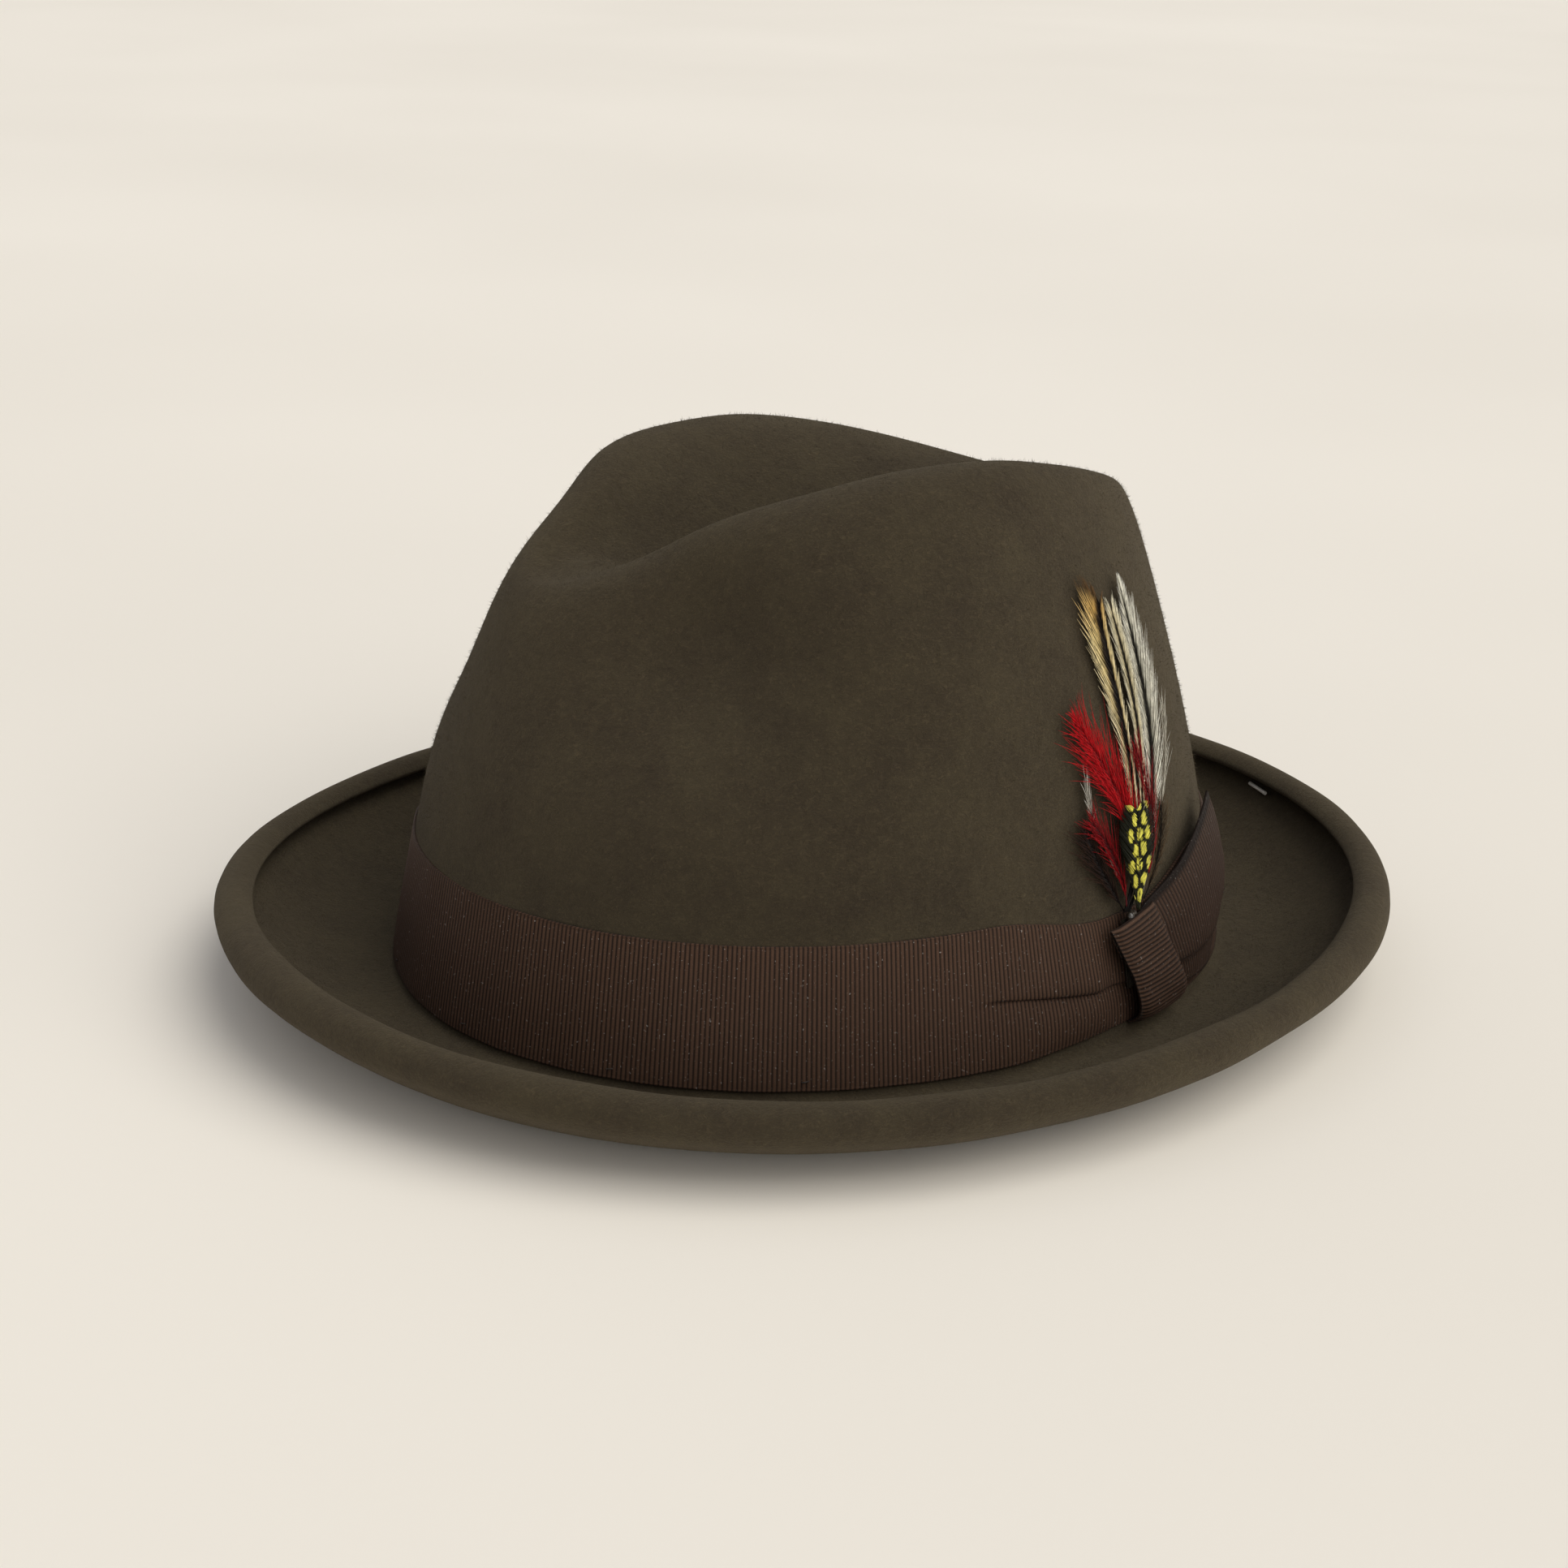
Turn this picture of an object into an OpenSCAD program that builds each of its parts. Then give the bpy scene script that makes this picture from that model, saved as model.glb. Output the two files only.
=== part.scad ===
// Fedora hat: a felt crown and snap brim with a ribbon band, a bow, a feather trim and a fitted inside.
// Millimetres. +Z is up, the front of the hat faces -Y and the wearer's left side is +X.
// The origin is at the middle of the hat, on the surface that its brim rests on.

/* [Felt body] */
// Half of the crown's length, front to back, at its foot
oval_half_length = 103.5; // [100:0.5:106]
// Half of the crown's width at its foot
oval_half_width = 87; // [84:0.5:89]
// Thickness of the felt
felt_t = 3; // [2.6:0.1:3.2]
// Half of the brim's length, front to back, to the middle of the curled rim
rim_half_length = 140.6; // [138:0.2:143]
// Half of the brim's width to the middle of the curled rim
rim_half_width = 122.5; // [120:0.2:125]
// Height of the middle of the curled rim above the table
rim_height = 18.3; // [16:0.1:20]
// Outer radius of the curled rim
rim_radius = 4.8; // [4.4:0.1:5.2]
// How far round the felt is rolled at the rim, as the heading of its cut edge
rim_roll = 240; // [200:5:250]

/* [Crown shape] */
// Height of the crown's ridges above its foot
ridge_height = 121.5; // [118:0.5:124]
// How far the ridge falls at the front point
ridge_front_drop = 25.3; // [22:0.5:28]
// How far the ridge falls at the back
ridge_back_drop = 18.3; // [14:0.5:20]
// How much higher the left ridge stands than the middle
ridge_tilt = 2.2; // [0:0.2:3]
// How much the back of the left ridge is lifted by the hand that creased it
ridge_twist = 7.4; // [0:0.2:8]
// Half of the distance between the ridges at their widest
ridge_half_width = 46.8; // [44:0.2:49]
// Half of the ridge's length, front to back
ridge_half_length = 73.7; // [71:0.2:76]
// How sharply the ridges close to a point at the front
ridge_closing = 0.383; // [0.3:0.01:0.45]
// Height of the floor of the crease above the crown's foot
crease_floor = 90; // [86:0.5:96]
// Inward lean of the crown's wall, in millimetres for each millimetre of height
wall_lean = 0.175; // [0.14:0.005:0.2]
// Depth of the two pinches at the front
pinch_depth = 13.2; // [8:0.2:15]
// Height of the pinches above the crown's foot
pinch_height = 87.3; // [82:0.5:92]

/* [Trim] */
// Height of the hat band ribbon
band_height = 31.5; // [28:0.5:34]
// Thickness of the ribbon
ribbon_t = 0.6; // [0.4:0.1:0.8]
// Direction of the middle of the bow's knot, counted from the left side towards the back
bow_at = 24.6; // [22:0.2:27]
// Width of the knot's strip, in degrees round the crown
knot_span = 9.5; // [8:0.5:11]

/* [Inside] */
// Height of the sweatband
sweatband_height = 35; // [30:1:38]
// Thickness of the sweatband leather
sweatband_t = 1.2; // [1:0.1:1.4]
// Height of the lining's tip above the table
lining_top = 80; // [74:1:82]

/* [Hidden] */

// Steps round the hat; a multiple of four, so that the front and the back have a point each
around = 72;
step_angle = 360 / around;
foot_z = 5.5;                  // height of the crown's foot, where the band starts
fillet_r = foot_z - felt_t;    // radius between the wall and the top of the brim
wall_top = 36.6;               // height above the foot where the wall turns into the shoulder
wall_draw = 2.6;               // extra lean at 100 mm above the foot
wall_shift = 0.01;             // forward shift of the crown for each millimetre of height
shoulder_out = 2.4;            // roundness of the shoulder, sideways
shoulder_up = 2.2;             // roundness of the shoulder, upwards
ridge_x0 = -1.7;               // middle of the crease
ridge_y0 = -9.3;
ridge_skew = 10.5;             // how much further the ridge reaches back than forward
crease_y0 = -12.8;             // middle of the crease's floor
crease_half_length = 44.8;
crease_front_rise = 8;
crease_back_rise = 10;
pinch_at = 44.2;               // direction of the pinches, from the side towards the front
pinch_spread = 22.9;           // degrees
pinch_tall = 23.5;
flat_share = 0.12;             // share of the brim that lies flat on the table
felt_c = [0.25, 0.22, 0.16];
ribbon_c = [0.23, 0.17, 0.14];
leather_c = [0.3, 0.22, 0.15];
lining_c = [0.5, 0.42, 0.3];

function smooth(t) = let (u = min(1, max(0, t))) u * u * (3 - 2 * u);
function unit(v) = v / norm(v);
function mix(a, b, t) = a + (b - a) * t;
// The smallest signed angle from b to a
function turn(a, b) = let (d = (a - b + 540) % 360) d - 180;

// --- The crown's outer surface; f is the direction round the hat and h the height above the foot ---
function lean(h) = wall_lean * h + wall_draw * pow(h / 100, 2);
function wall_xy(f, h) = [
    (oval_half_width - lean(h)) * cos(f),
    (oval_half_length - lean(h)) * sin(f) - wall_shift * h
];
function ridge_xy(f) = [
    ridge_x0 + ridge_half_width * cos(f) * (1 - ridge_closing * pow((1 - sin(f)) / 2, 1.5)),
    ridge_y0 + ridge_half_length * sin(f) + ridge_skew * pow(sin(f), 2)
];
function ridge_h(f) = ridge_height
    - ridge_front_drop * pow((1 - sin(f)) / 2, 4.18)
    - ridge_back_drop * pow(max(0, sin(f)), 2)
    + ridge_tilt * cos(f)
    + ridge_twist * cos(f) * sin(f);
function pinch(f, h) = pinch_depth * exp(-pow((h - pinch_height) / pinch_tall, 2))
    * (exp(-pow(turn(f, -pinch_at) / pinch_spread, 2))
       + exp(-pow(turn(f, pinch_at - 180) / pinch_spread, 2)));
// A point of the crown moved towards its middle by a distance
function pressed(xy, h, d) = let (
    out = [xy[0], xy[1] - ridge_y0],
    k = 1 - d / norm(out)
) [out[0] * k, out[1] * k + ridge_y0, h + foot_z];
// The outside of the crown between its foot and its ridge, moved inwards by an inset
function crown_at(f, z, inset) = let (
    h = max(0, z - foot_z),
    v = max(0, h - wall_top) / (ridge_h(f) - wall_top),
    u = pow(max(0, 1 - pow(v, shoulder_up)), 1 / shoulder_out),
    xy = mix(ridge_xy(f), wall_xy(f, h), u),
    p = pressed(xy, h, pinch(f, h) + inset)
) [p[0], p[1], z];
function shoulder_point(f, t) = let (
    u = pow(sin(t), 2 / shoulder_out),
    v = pow(cos(t), 2 / shoulder_up),
    h = mix(wall_top, ridge_h(f), v)
) pressed(mix(ridge_xy(f), wall_xy(f, h), u), h, pinch(f, h));
// The floor of the crease is a line from front to back
function floor_y(f) = crease_y0 + crease_half_length * sin(f);
function floor_h(f) = crease_floor + (sin(f) < 0 ? crease_front_rise : crease_back_rise) * pow(sin(f), 2);
function crease_point(f, r) = let (
    line = [ridge_x0, floor_y(f)],
    xy = mix(line, ridge_xy(f), r),
    h = mix(floor_h(f), ridge_h(f), smooth(r))
) pressed(xy, h, pinch(f, h) * smooth((r - 0.4) / 0.6));
function floor_normal(f) = let (
    slope = 2 * (sin(f) < 0 ? crease_front_rise : crease_back_rise) * sin(f) / crease_half_length
) unit([0, -slope, 1]);

// --- The brim's top surface ---
roll_r = rim_radius - felt_t;  // radius of the felt's upper face inside the roll
function rim_z(f) = rim_height - 1.6 * cos(2 * f) + 1.2 * sin(3 * f);
function brim_run() = rim_half_width + roll_r * 0.6 - oval_half_width - fillet_r;
function brim_heading(f) = atan(2 * (rim_z(f) - roll_r - felt_t) / (brim_run() * (1 - flat_share)));
function brim_ring(half_w, half_l, z, f) = [half_w * cos(f), half_l * sin(f), z];
function fillet_point(f, a) = let (out = fillet_r * (1 - cos(a)))
    brim_ring(oval_half_width + out, oval_half_length + out, felt_t + fillet_r * (1 - sin(a)), f);
function roll_point(f, a) = let (out = roll_r * sin(a))
    brim_ring(rim_half_width + out, rim_half_length + out, rim_z(f) - roll_r * cos(a), f);
function brim_point(f, s) = let (
    start = fillet_point(f, 90),
    end = roll_point(f, brim_heading(f)),
    rise = pow(max(0, s - flat_share) / (1 - flat_share), 2)
) [mix(start[0], end[0], s), mix(start[1], end[1], s), mix(start[2], end[2], rise)];

crease_rings = 10;
shoulder_rings = 11;
wall_rings = 3;
fillet_rings = 3;
brim_rings = 7;
roll_rings = 8;
felt_face = concat(
    [for (k = [0:crease_rings - 1]) [for (i = [0:around - 1]) crease_point(i * step_angle, k / crease_rings)]],
    [for (k = [0:shoulder_rings - 1])
        [for (i = [0:around - 1]) shoulder_point(i * step_angle, 90 * k / shoulder_rings)]],
    [for (k = [0:wall_rings - 1])
        [for (i = [0:around - 1]) crown_at(i * step_angle, foot_z + wall_top * (1 - k / wall_rings), 0)]],
    [for (k = [0:fillet_rings - 1]) [for (i = [0:around - 1]) fillet_point(i * step_angle, 90 * k / fillet_rings)]],
    [for (k = [0:brim_rings - 1]) [for (i = [0:around - 1])
        let (s = k == 0 ? 0 : mix(flat_share, 1, (k - 1) / (brim_rings - 1))) brim_point(i * step_angle, s)]],
    [for (k = [0:roll_rings]) [for (i = [0:around - 1])
        let (f = i * step_angle) roll_point(f, mix(brim_heading(f), rim_roll, k / roll_rings))]]
);
felt_rings = len(felt_face);
// Normal of the felt's upper face; ring 0 is the line along the floor of the crease
function felt_normal(j, i) = j == 0 ? floor_normal(i * step_angle) : let (
    along = felt_face[j][(i + 1) % around] - felt_face[j][(i + around - 1) % around],
    down = felt_face[min(j + 1, felt_rings - 1)][i] - felt_face[j - 1][i]
) unit(cross(down, along));
// Both sides of the crease's floor share the points of that line
function felt_id(j, i) = let (k = i % around)
    j == 0 ? min(k, (around / 2 - k + around) % around) : j * around + k;

module felt_body() {
    upper = [for (ring = felt_face) each ring];
    lower = [for (j = [0:felt_rings - 1]) for (i = [0:around - 1]) felt_face[j][i] - felt_t * felt_normal(j, i)];
    count = felt_rings * around;
    last = felt_rings - 1;
    color(felt_c) polyhedron(concat(upper, lower), concat(
        [for (j = [0:last - 1]) for (i = [0:around - 1]) each [
            [felt_id(j, i), felt_id(j, i + 1), felt_id(j + 1, i + 1)],
            [felt_id(j, i), felt_id(j + 1, i + 1), felt_id(j + 1, i)],
            [count + felt_id(j, i), count + felt_id(j + 1, i + 1), count + felt_id(j, i + 1)],
            [count + felt_id(j, i), count + felt_id(j + 1, i), count + felt_id(j + 1, i + 1)]
        ]],
        [for (i = [0:around - 1]) each [
            [felt_id(last, i), felt_id(last, i + 1), count + felt_id(last, i + 1)],
            [felt_id(last, i), count + felt_id(last, i + 1), count + felt_id(last, i)]
        ]]
    ));
}

// --- Strips that follow the crown; a section is a closed list of [z, inset, angle shift], up its outer
// side and down its inner side, so that point k lies opposite point m - 1 - k ---
function strip_faces(n, m, closed) = concat(
    [for (i = [0:n - (closed ? 1 : 2)]) for (k = [0:m - 1]) let (
        a = i * m + k,
        b = i * m + (k + 1) % m,
        c = ((i + 1) % n) * m + (k + 1) % m,
        d = ((i + 1) % n) * m + k
    ) each [[a, b, c], [a, c, d]]],
    closed ? [] : [for (k = [0:m / 2 - 2]) let (far = (n - 1) * m, o = m - 1 - k) each [
        [k, o - 1, k + 1],
        [k, o, o - 1],
        [far + k, far + k + 1, far + o - 1],
        [far + k, far + o - 1, far + o]
    ]]
);
module crown_strip(section, start, end, steps) {
    closed = end - start == 360;
    n = closed ? steps : steps + 1;
    m = len(section(start));
    points = [for (i = [0:n - 1]) let (f = mix(start, end, i / steps)) for (q = section(f))
        crown_at(f + q[2], q[0], q[1])];
    polyhedron(points, strip_faces(n, m, closed));
}
// A flat section between two heights, from one inset to a smaller one
function flat_section(low, high, inner, outer) = [
    [low, outer, 0],
    [high, outer, 0],
    [high, inner, 0],
    [low, inner, 0]
];

// --- Ribbon ---
ribbon_gap = 0.1;
// How tightly the band is gathered at the knot: 1 under it and 0 away from it
gather_at = 22;
function gather(f) = smooth((22 - abs(turn(f, gather_at))) / 19);
function band_low(f) = foot_z + 1.3 * gather(f);
function band_high(f) = foot_z + band_height - 5 * gather(f);
module hat_band() {
    color(ribbon_c) crown_strip(function (f) let (
        low = band_low(f),
        high = band_high(f),
        fold = 0.7 * gather(f)
    ) [
        [low, -ribbon_gap, 0],
        [low, -ribbon_gap - ribbon_t, 0],
        [mix(low, high, 0.3), -ribbon_gap - ribbon_t - fold, 0],
        [mix(low, high, 0.5), -ribbon_gap - ribbon_t, 0],
        [mix(low, high, 0.75), -ribbon_gap - ribbon_t - fold, 0],
        [high, -ribbon_gap - ribbon_t, 0],
        [high, -ribbon_gap, 0]
    ], 0, 360, around);
}

// The knot is a strip that goes over the gathered band
knot_low = foot_z + 1;
knot_high = 32;
knot_out = 5.8;
knot_foot_out = 0.8;
knot_lean = 0.26;              // degrees of lean for each millimetre of height
knot_mid = 19;
knot_slant = 0.27;             // rise of its upper edge for each degree
// How far the strip stands off: it springs from the felt at its lower edge and stays open at the top,
// where the feathers go in behind it
function knot_bulge(t) = t < 0.4 ? knot_out * sqrt(1 - pow(1 - t / 0.4, 2)) : knot_out - 0.6 * (t - 0.4) / 0.6;
module bow_knot() {
    share = [0, 0.04, 0.12, 0.25, 0.4, 0.7, 1];
    color(ribbon_c) crown_strip(function (f) let (high = knot_high + knot_slant * (f - bow_at)) concat(
        [for (t = share) let (z = mix(knot_low, high, t))
            [z, -knot_foot_out - knot_bulge(t), -knot_lean * (z - knot_mid)]],
        [for (k = [len(share) - 1:-1:0]) let (
            z = mix(knot_low + ribbon_t, high, share[k])
        ) [z, -knot_foot_out - knot_bulge(share[k]) * (1 - ribbon_t / knot_out), -knot_lean * (z - knot_mid)]]
    ), bow_at - knot_span / 2, bow_at + knot_span / 2, 6);
}

// The tail is the ribbon's free end; it starts under the knot, opens out and stands off the crown
tail_start = bow_at + 3.2;
tail_end = 48.5;
function tail_share(f) = (f - tail_start) / (tail_end - tail_start);
module bow_tail() {
    color(ribbon_c) crown_strip(function (f) let (
        s = tail_share(f),
        low = mix(10.2, 8.5, smooth(s * 3)) + 5.5 * smooth((s - 0.6) / 0.4),
        high = mix(31.5, 47.5, s),
        out = mix(2.9, 4.5, smooth(s * 2)),
        share = [0, 0.25, 0.5, 0.75, 1]
    ) concat(
        [for (t = share) let (z = mix(low, high, t))
            [z, -out - ribbon_t - 0.7 * sin(180 * t), 4 * s * s * sin(180 * t) - (1 - s) * knot_lean * (z - knot_mid)]],
        [for (k = [4:-1:0]) let (t = share[k], z = mix(low, high, t))
            [z, -out - 0.7 * sin(180 * t), 4 * s * s * sin(180 * t) - (1 - s) * knot_lean * (z - knot_mid)]]
    ), tail_start, tail_end, 12);
}

// A doubled ribbon end lies between the tail and the band and holds the tail off the crown
module bow_lining() {
    color(ribbon_c * 0.8)
        crown_strip(function (f) flat_section(12, 25, -1.7, -1.7 - ribbon_t), bow_at + 8, 46, 8);
}

// Short threads that tack the band to the felt along its lower edge, and one loose end
tack_count = 12;
thread_r = 0.25;
module band_tacks() {
    color("dimgray") for (k = [0:tack_count - 1]) {
        f = 60 + k * 300 / tack_count;
        p = crown_at(f, foot_z + 2.2, -ribbon_gap - ribbon_t - thread_r * 1.15);
        translate(p) rotate([0, 0, f]) rotate([90, 0, 0])
            cylinder(r = thread_r, h = 1.6, center = true, $fn = 24);
    }
    color("dimgray") translate(crown_at(tail_end + 2.4, 19, -4.5))
        rotate([60, 0, tail_end + 90]) cylinder(r = thread_r, h = 5, $fn = 24);
}

// --- Inside ---
lining_t = 0.4;
lining_inset = felt_t + 0.35;
function sweatband_inset(z) = felt_t + 0.35 + 0.75 * smooth(z / 20);
sweatband_low = 1;
sweatband_heights = [for (k = [0:4]) sweatband_low + sweatband_height * k / 4];
module sweatband() {
    color(leather_c) crown_strip(function (f) concat(
        [for (z = sweatband_heights) [z, sweatband_inset(z), 0]],
        [for (k = [4:-1:0]) [sweatband_heights[k], sweatband_inset(sweatband_heights[k]) + sweatband_t, 0]]
    ), 0, 360, around);
}
reed_r = 0.65;
module sweatband_reed() {
    color("ivory") crown_strip(function (f)
        [for (a = [0:60:300]) [1.35 + reed_r * sin(a), 2.5 - reed_r * cos(a), 0]], 0, 360, around);
}
stitch_count = 60;
module sweatband_stitching() {
    color("tan") for (k = [0:stitch_count - 1]) {
        f = (k + 0.5) * 360 / stitch_count;
        p = crown_at(f, 2.7, 2.75);
        translate(p) rotate([0, 90, atan2(oval_half_width * sin(f), oval_half_length * cos(f))])
            cylinder(r = thread_r, h = 1.1, center = true, $fn = 24);
    }
}
tape_t = 0.4;
module sweatband_seam_tape() {
    color(leather_c * 0.7) crown_strip(function (f) concat(
        [for (z = sweatband_heights) [z, sweatband_inset(z) + sweatband_t + 0.1, 0]],
        [for (k = [4:-1:0]) let (z = sweatband_heights[k])
            [z, sweatband_inset(z) + sweatband_t + 0.1 + tape_t, 0]]
    ), 85, 95, 2);
}
module sweatband_bow() {
    loop = 9;
    z = 11;
    back = crown_at(90, z, sweatband_inset(z) + sweatband_t + tape_t + 1.15)[1];
    color(ribbon_c) translate([0, back, z]) rotate([90, 0, 0]) {
        for (side = [-1, 1])
            linear_extrude(1.4)
                polygon([[side, 1.2], [side * loop * 0.8, 3.4], [side * loop, 2], [side * loop, -2],
                    [side * loop * 0.8, -3.4], [side, -1.2]]);
        translate([0, 0, 0.6]) cube([2.8, 3.6, 2.4], center = true);
    }
}
module lining_side() {
    heights = [for (k = [0:4]) mix(27, lining_top, k / 4)];
    color(lining_c) crown_strip(function (f) concat(
        [for (k = [0:4]) [heights[k], lining_inset + 0.6 * max(0, k - 1), 0]],
        [for (k = [4:-1:0]) [heights[k], lining_inset + 0.6 * max(0, k - 1) + lining_t, 0]]
    ), 0, 360, around);
}
// The tip is an oval sheet that hangs just under the crease
tip_rise = 3.5;
module lining_tip() {
    steps = 36;
    rings = 4;
    edge_inset = lining_inset + 1.8 + lining_t + 0.3;
    edge = [for (i = [0:steps - 1]) crown_at(i * 360 / steps, lining_top - 1, edge_inset)];
    middle = [0, ridge_y0, lining_top - 1];
    sheet = [for (j = [1:rings]) for (p = edge) let (r = j / rings)
        mix(middle, p, r) + [0, 0, tip_rise * (1 - r * r)]];
    top = concat([middle + [0, 0, tip_rise]], sheet);
    n = len(top);
    under = [for (p = top) p - [0, 0, lining_t]];
    function at(j, i) = 1 + (j - 1) * steps + i % steps;
    color(lining_c) polyhedron(concat(top, under), concat(
        [for (i = [0:steps - 1]) each [
            [0, at(1, i + 1), at(1, i)],
            [n, n + at(1, i), n + at(1, i + 1)],
            [at(rings, i), at(rings, i + 1), n + at(rings, i + 1)],
            [at(rings, i), n + at(rings, i + 1), n + at(rings, i)]
        ]],
        [for (j = [1:rings - 1]) for (i = [0:steps - 1]) each [
            [at(j, i), at(j, i + 1), at(j + 1, i + 1)],
            [at(j, i), at(j + 1, i + 1), at(j + 1, i)],
            [n + at(j, i), n + at(j + 1, i + 1), n + at(j, i + 1)],
            [n + at(j, i), n + at(j + 1, i), n + at(j + 1, i + 1)]
        ]]
    ));
}
module size_tab() {
    behind = sweatband_inset(40);
    color("white") crown_strip(function (f) [
        [34, behind - 0.1, 0],
        [34, behind - 0.3, 0],
        [48, behind + 0.2, 0],
        [48, behind + 0.4, 0]
    ], 175, 185, 2);
}

// --- The bar of a cut-off tag fastener, lying on the brim inside the rolled rim at the back ---
tag_at = 93;
tag_share = 0.93;
module tag_fastener() {
    p = brim_point(tag_at, tag_share);
    color("white") translate([p[0], p[1], p[2] + 1.5])
        rotate([0, 90, -6]) cylinder(r = 0.5, h = 8, center = true, $fn = 24);
}

// --- Feather trim; it is a bundle of quills that is pushed into the pocket behind the knot ---
quill_at = 22;                 // direction of the upper end of the bundle
quill_foot_at = 24;            // direction of its lower end, in the pocket
quill_z = 33;                  // height where the feathers leave the bundle
quill_out = 3.6;
degrees_per_mm = 0.66;         // round the crown, at the feathers
// A feather runs from the bundle to its tip as a thin blade that follows the crown's wall
module feather(tip_f, tip_z, width, fullest, out, bend = 0, base_shift = 0, base_z = quill_z) {
    steps = 10;
    blade_t = 0.3;
    function half_width(t) = 0.5 + width / 2 * (t < fullest
        ? smooth(t / fullest) : sqrt(max(0, 1 - pow((t - fullest) / (1.001 - fullest), 2))));
    points = [for (k = [0:steps]) let (
        t = k / steps,
        z = mix(base_z, tip_z, t),
        f = mix(quill_at + base_shift, tip_f, t) + bend * sin(180 * t),
        w = half_width(t) * degrees_per_mm,
        d = out + 0.6 * sin(180 * t)
    ) each [
        crown_at(f - w, z, -d),
        crown_at(f + w, z, -d),
        crown_at(f + w, z, -d - blade_t),
        crown_at(f - w, z, -d - blade_t)
    ]];
    polyhedron(points, strip_faces(steps + 1, 4, false));
}
module feather_backing() {
    color("dimgray") crown_strip(function (f) flat_section(15, 31, -1.9, -2.3), quill_at - 1, quill_at + 4, 3);
}
module quill_binding() {
    low = crown_at(quill_foot_at, 17, -quill_out);
    high = crown_at(quill_at, quill_z, -quill_out);
    run = high - low;
    color("black") translate(low)
        rotate([0, acos(run[2] / norm(run)), atan2(run[1], run[0])])
            cylinder(r = 1.1, h = norm(run), $fn = 32);
}
module feather_silver() { color("gainsboro") feather(34.9, 105, 9, 0.6, 2.55, bend = 4.5, base_shift = 0.8); }
module feather_gold() { color("goldenrod") feather(28.9, 104, 8, 0.6, 2.9, bend = 1, base_shift = -0.8); }
module feather_cream() { color("wheat") feather(30, 99, 6, 0.5, 3.42, bend = 2.7); }
module feather_wisps() { color("silver") feather(38.2, 72, 6, 0.6, 2.1, bend = 3, base_shift = 0.8); }
module feather_red_upper() { color("firebrick") feather(15.3, 81.5, 8, 0.5, 3.8, bend = 3.5, base_shift = -0.4); }
module feather_red_lower() { color("crimson") feather(16, 55.5, 6, 0.5, 4.2, bend = 0.8, base_shift = -0.4); }
module feather_dotted() { color("darkolivegreen") feather(25.1, 58, 9, 0.5, 4.65); }
module feather_brown_left() { color("saddlebrown") feather(14.6, 55, 7, 0.6, 2.75, bend = -0.5, base_shift = -2.2); }
module feather_brown_right() { color("saddlebrown") feather(32.4, 54.5, 7, 0.6, 4.2, bend = 0.8, base_shift = 1.6); }
module feather_grey() { color("gray") feather(16.5, 66, 3, 0.6, 2.05, bend = -0.5, base_shift = -1.8); }

felt_body();
hat_band();
bow_knot();
bow_tail();
bow_lining();
band_tacks();
sweatband();
sweatband_reed();
sweatband_stitching();
sweatband_seam_tape();
sweatband_bow();
lining_side();
lining_tip();
size_tab();
tag_fastener();
feather_backing();
quill_binding();
feather_gold();
feather_silver();
feather_cream();
feather_wisps();
feather_red_upper();
feather_red_lower();
feather_dotted();
feather_brown_left();
feather_brown_right();
feather_grey();
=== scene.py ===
"""A felt fedora with a ribbon band, a side bow and a feather trim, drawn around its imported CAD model."""

import math

import bpy
import numpy as np
from mathutils import Matrix, Vector


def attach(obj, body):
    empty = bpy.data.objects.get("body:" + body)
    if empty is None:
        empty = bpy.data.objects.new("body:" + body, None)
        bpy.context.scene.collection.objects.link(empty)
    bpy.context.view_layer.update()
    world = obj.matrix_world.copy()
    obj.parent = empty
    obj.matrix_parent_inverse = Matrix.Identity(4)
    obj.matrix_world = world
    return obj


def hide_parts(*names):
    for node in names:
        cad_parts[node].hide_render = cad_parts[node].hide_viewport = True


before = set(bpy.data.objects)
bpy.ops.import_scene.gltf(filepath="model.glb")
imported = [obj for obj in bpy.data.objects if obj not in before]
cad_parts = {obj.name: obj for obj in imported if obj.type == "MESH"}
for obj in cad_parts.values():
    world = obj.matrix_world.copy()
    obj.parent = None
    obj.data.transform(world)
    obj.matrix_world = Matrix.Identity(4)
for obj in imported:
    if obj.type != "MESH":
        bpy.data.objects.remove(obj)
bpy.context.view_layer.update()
rng = np.random.default_rng(11)

# ---------------- shape of the hat, in millimetres and degrees
FELT_T = 3.0
FOOT_Z = 5.5
FILLET_R = FOOT_Z - FELT_T
WALL_TOP = 36.6
MID_Y = -9.3
HALF_W, HALF_L = 87.0, 103.5
RIM_W, RIM_L = 122.5, 140.6
ROLL_R = 1.8
ROLL_END = 240.0
FLAT_SHARE = 0.12
BOW_AT = 24.6
GATHER_AT = 22.0


def cosd(a):
    return np.cos(np.radians(a))


def sind(a):
    return np.sin(np.radians(a))


def smooth(t):
    t = np.clip(t, 0.0, 1.0)
    return t * t * (3 - 2 * t)


def mix(a, b, t):
    return a + (b - a) * t


def turn(a, b):
    return (a - b + 540.0) % 360.0 - 180.0


def unit(v):
    return v / np.maximum(np.linalg.norm(v, axis=-1, keepdims=True), 1e-12)


def lean(h):
    return 0.175 * h + 2.6 * (h / 100) ** 2


def wall_xy(f, h):
    return np.stack([(HALF_W - lean(h)) * cosd(f), (HALF_L - lean(h)) * sind(f) - 0.01 * h], -1)


def ridge_xy(f):
    s = sind(f)
    x = -1.7 + 46.8 * cosd(f) * (1 - 0.383 * ((1 - s) / 2) ** 1.5)
    return np.stack([x, MID_Y + 73.7 * s + 10.5 * s * s], -1)


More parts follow.
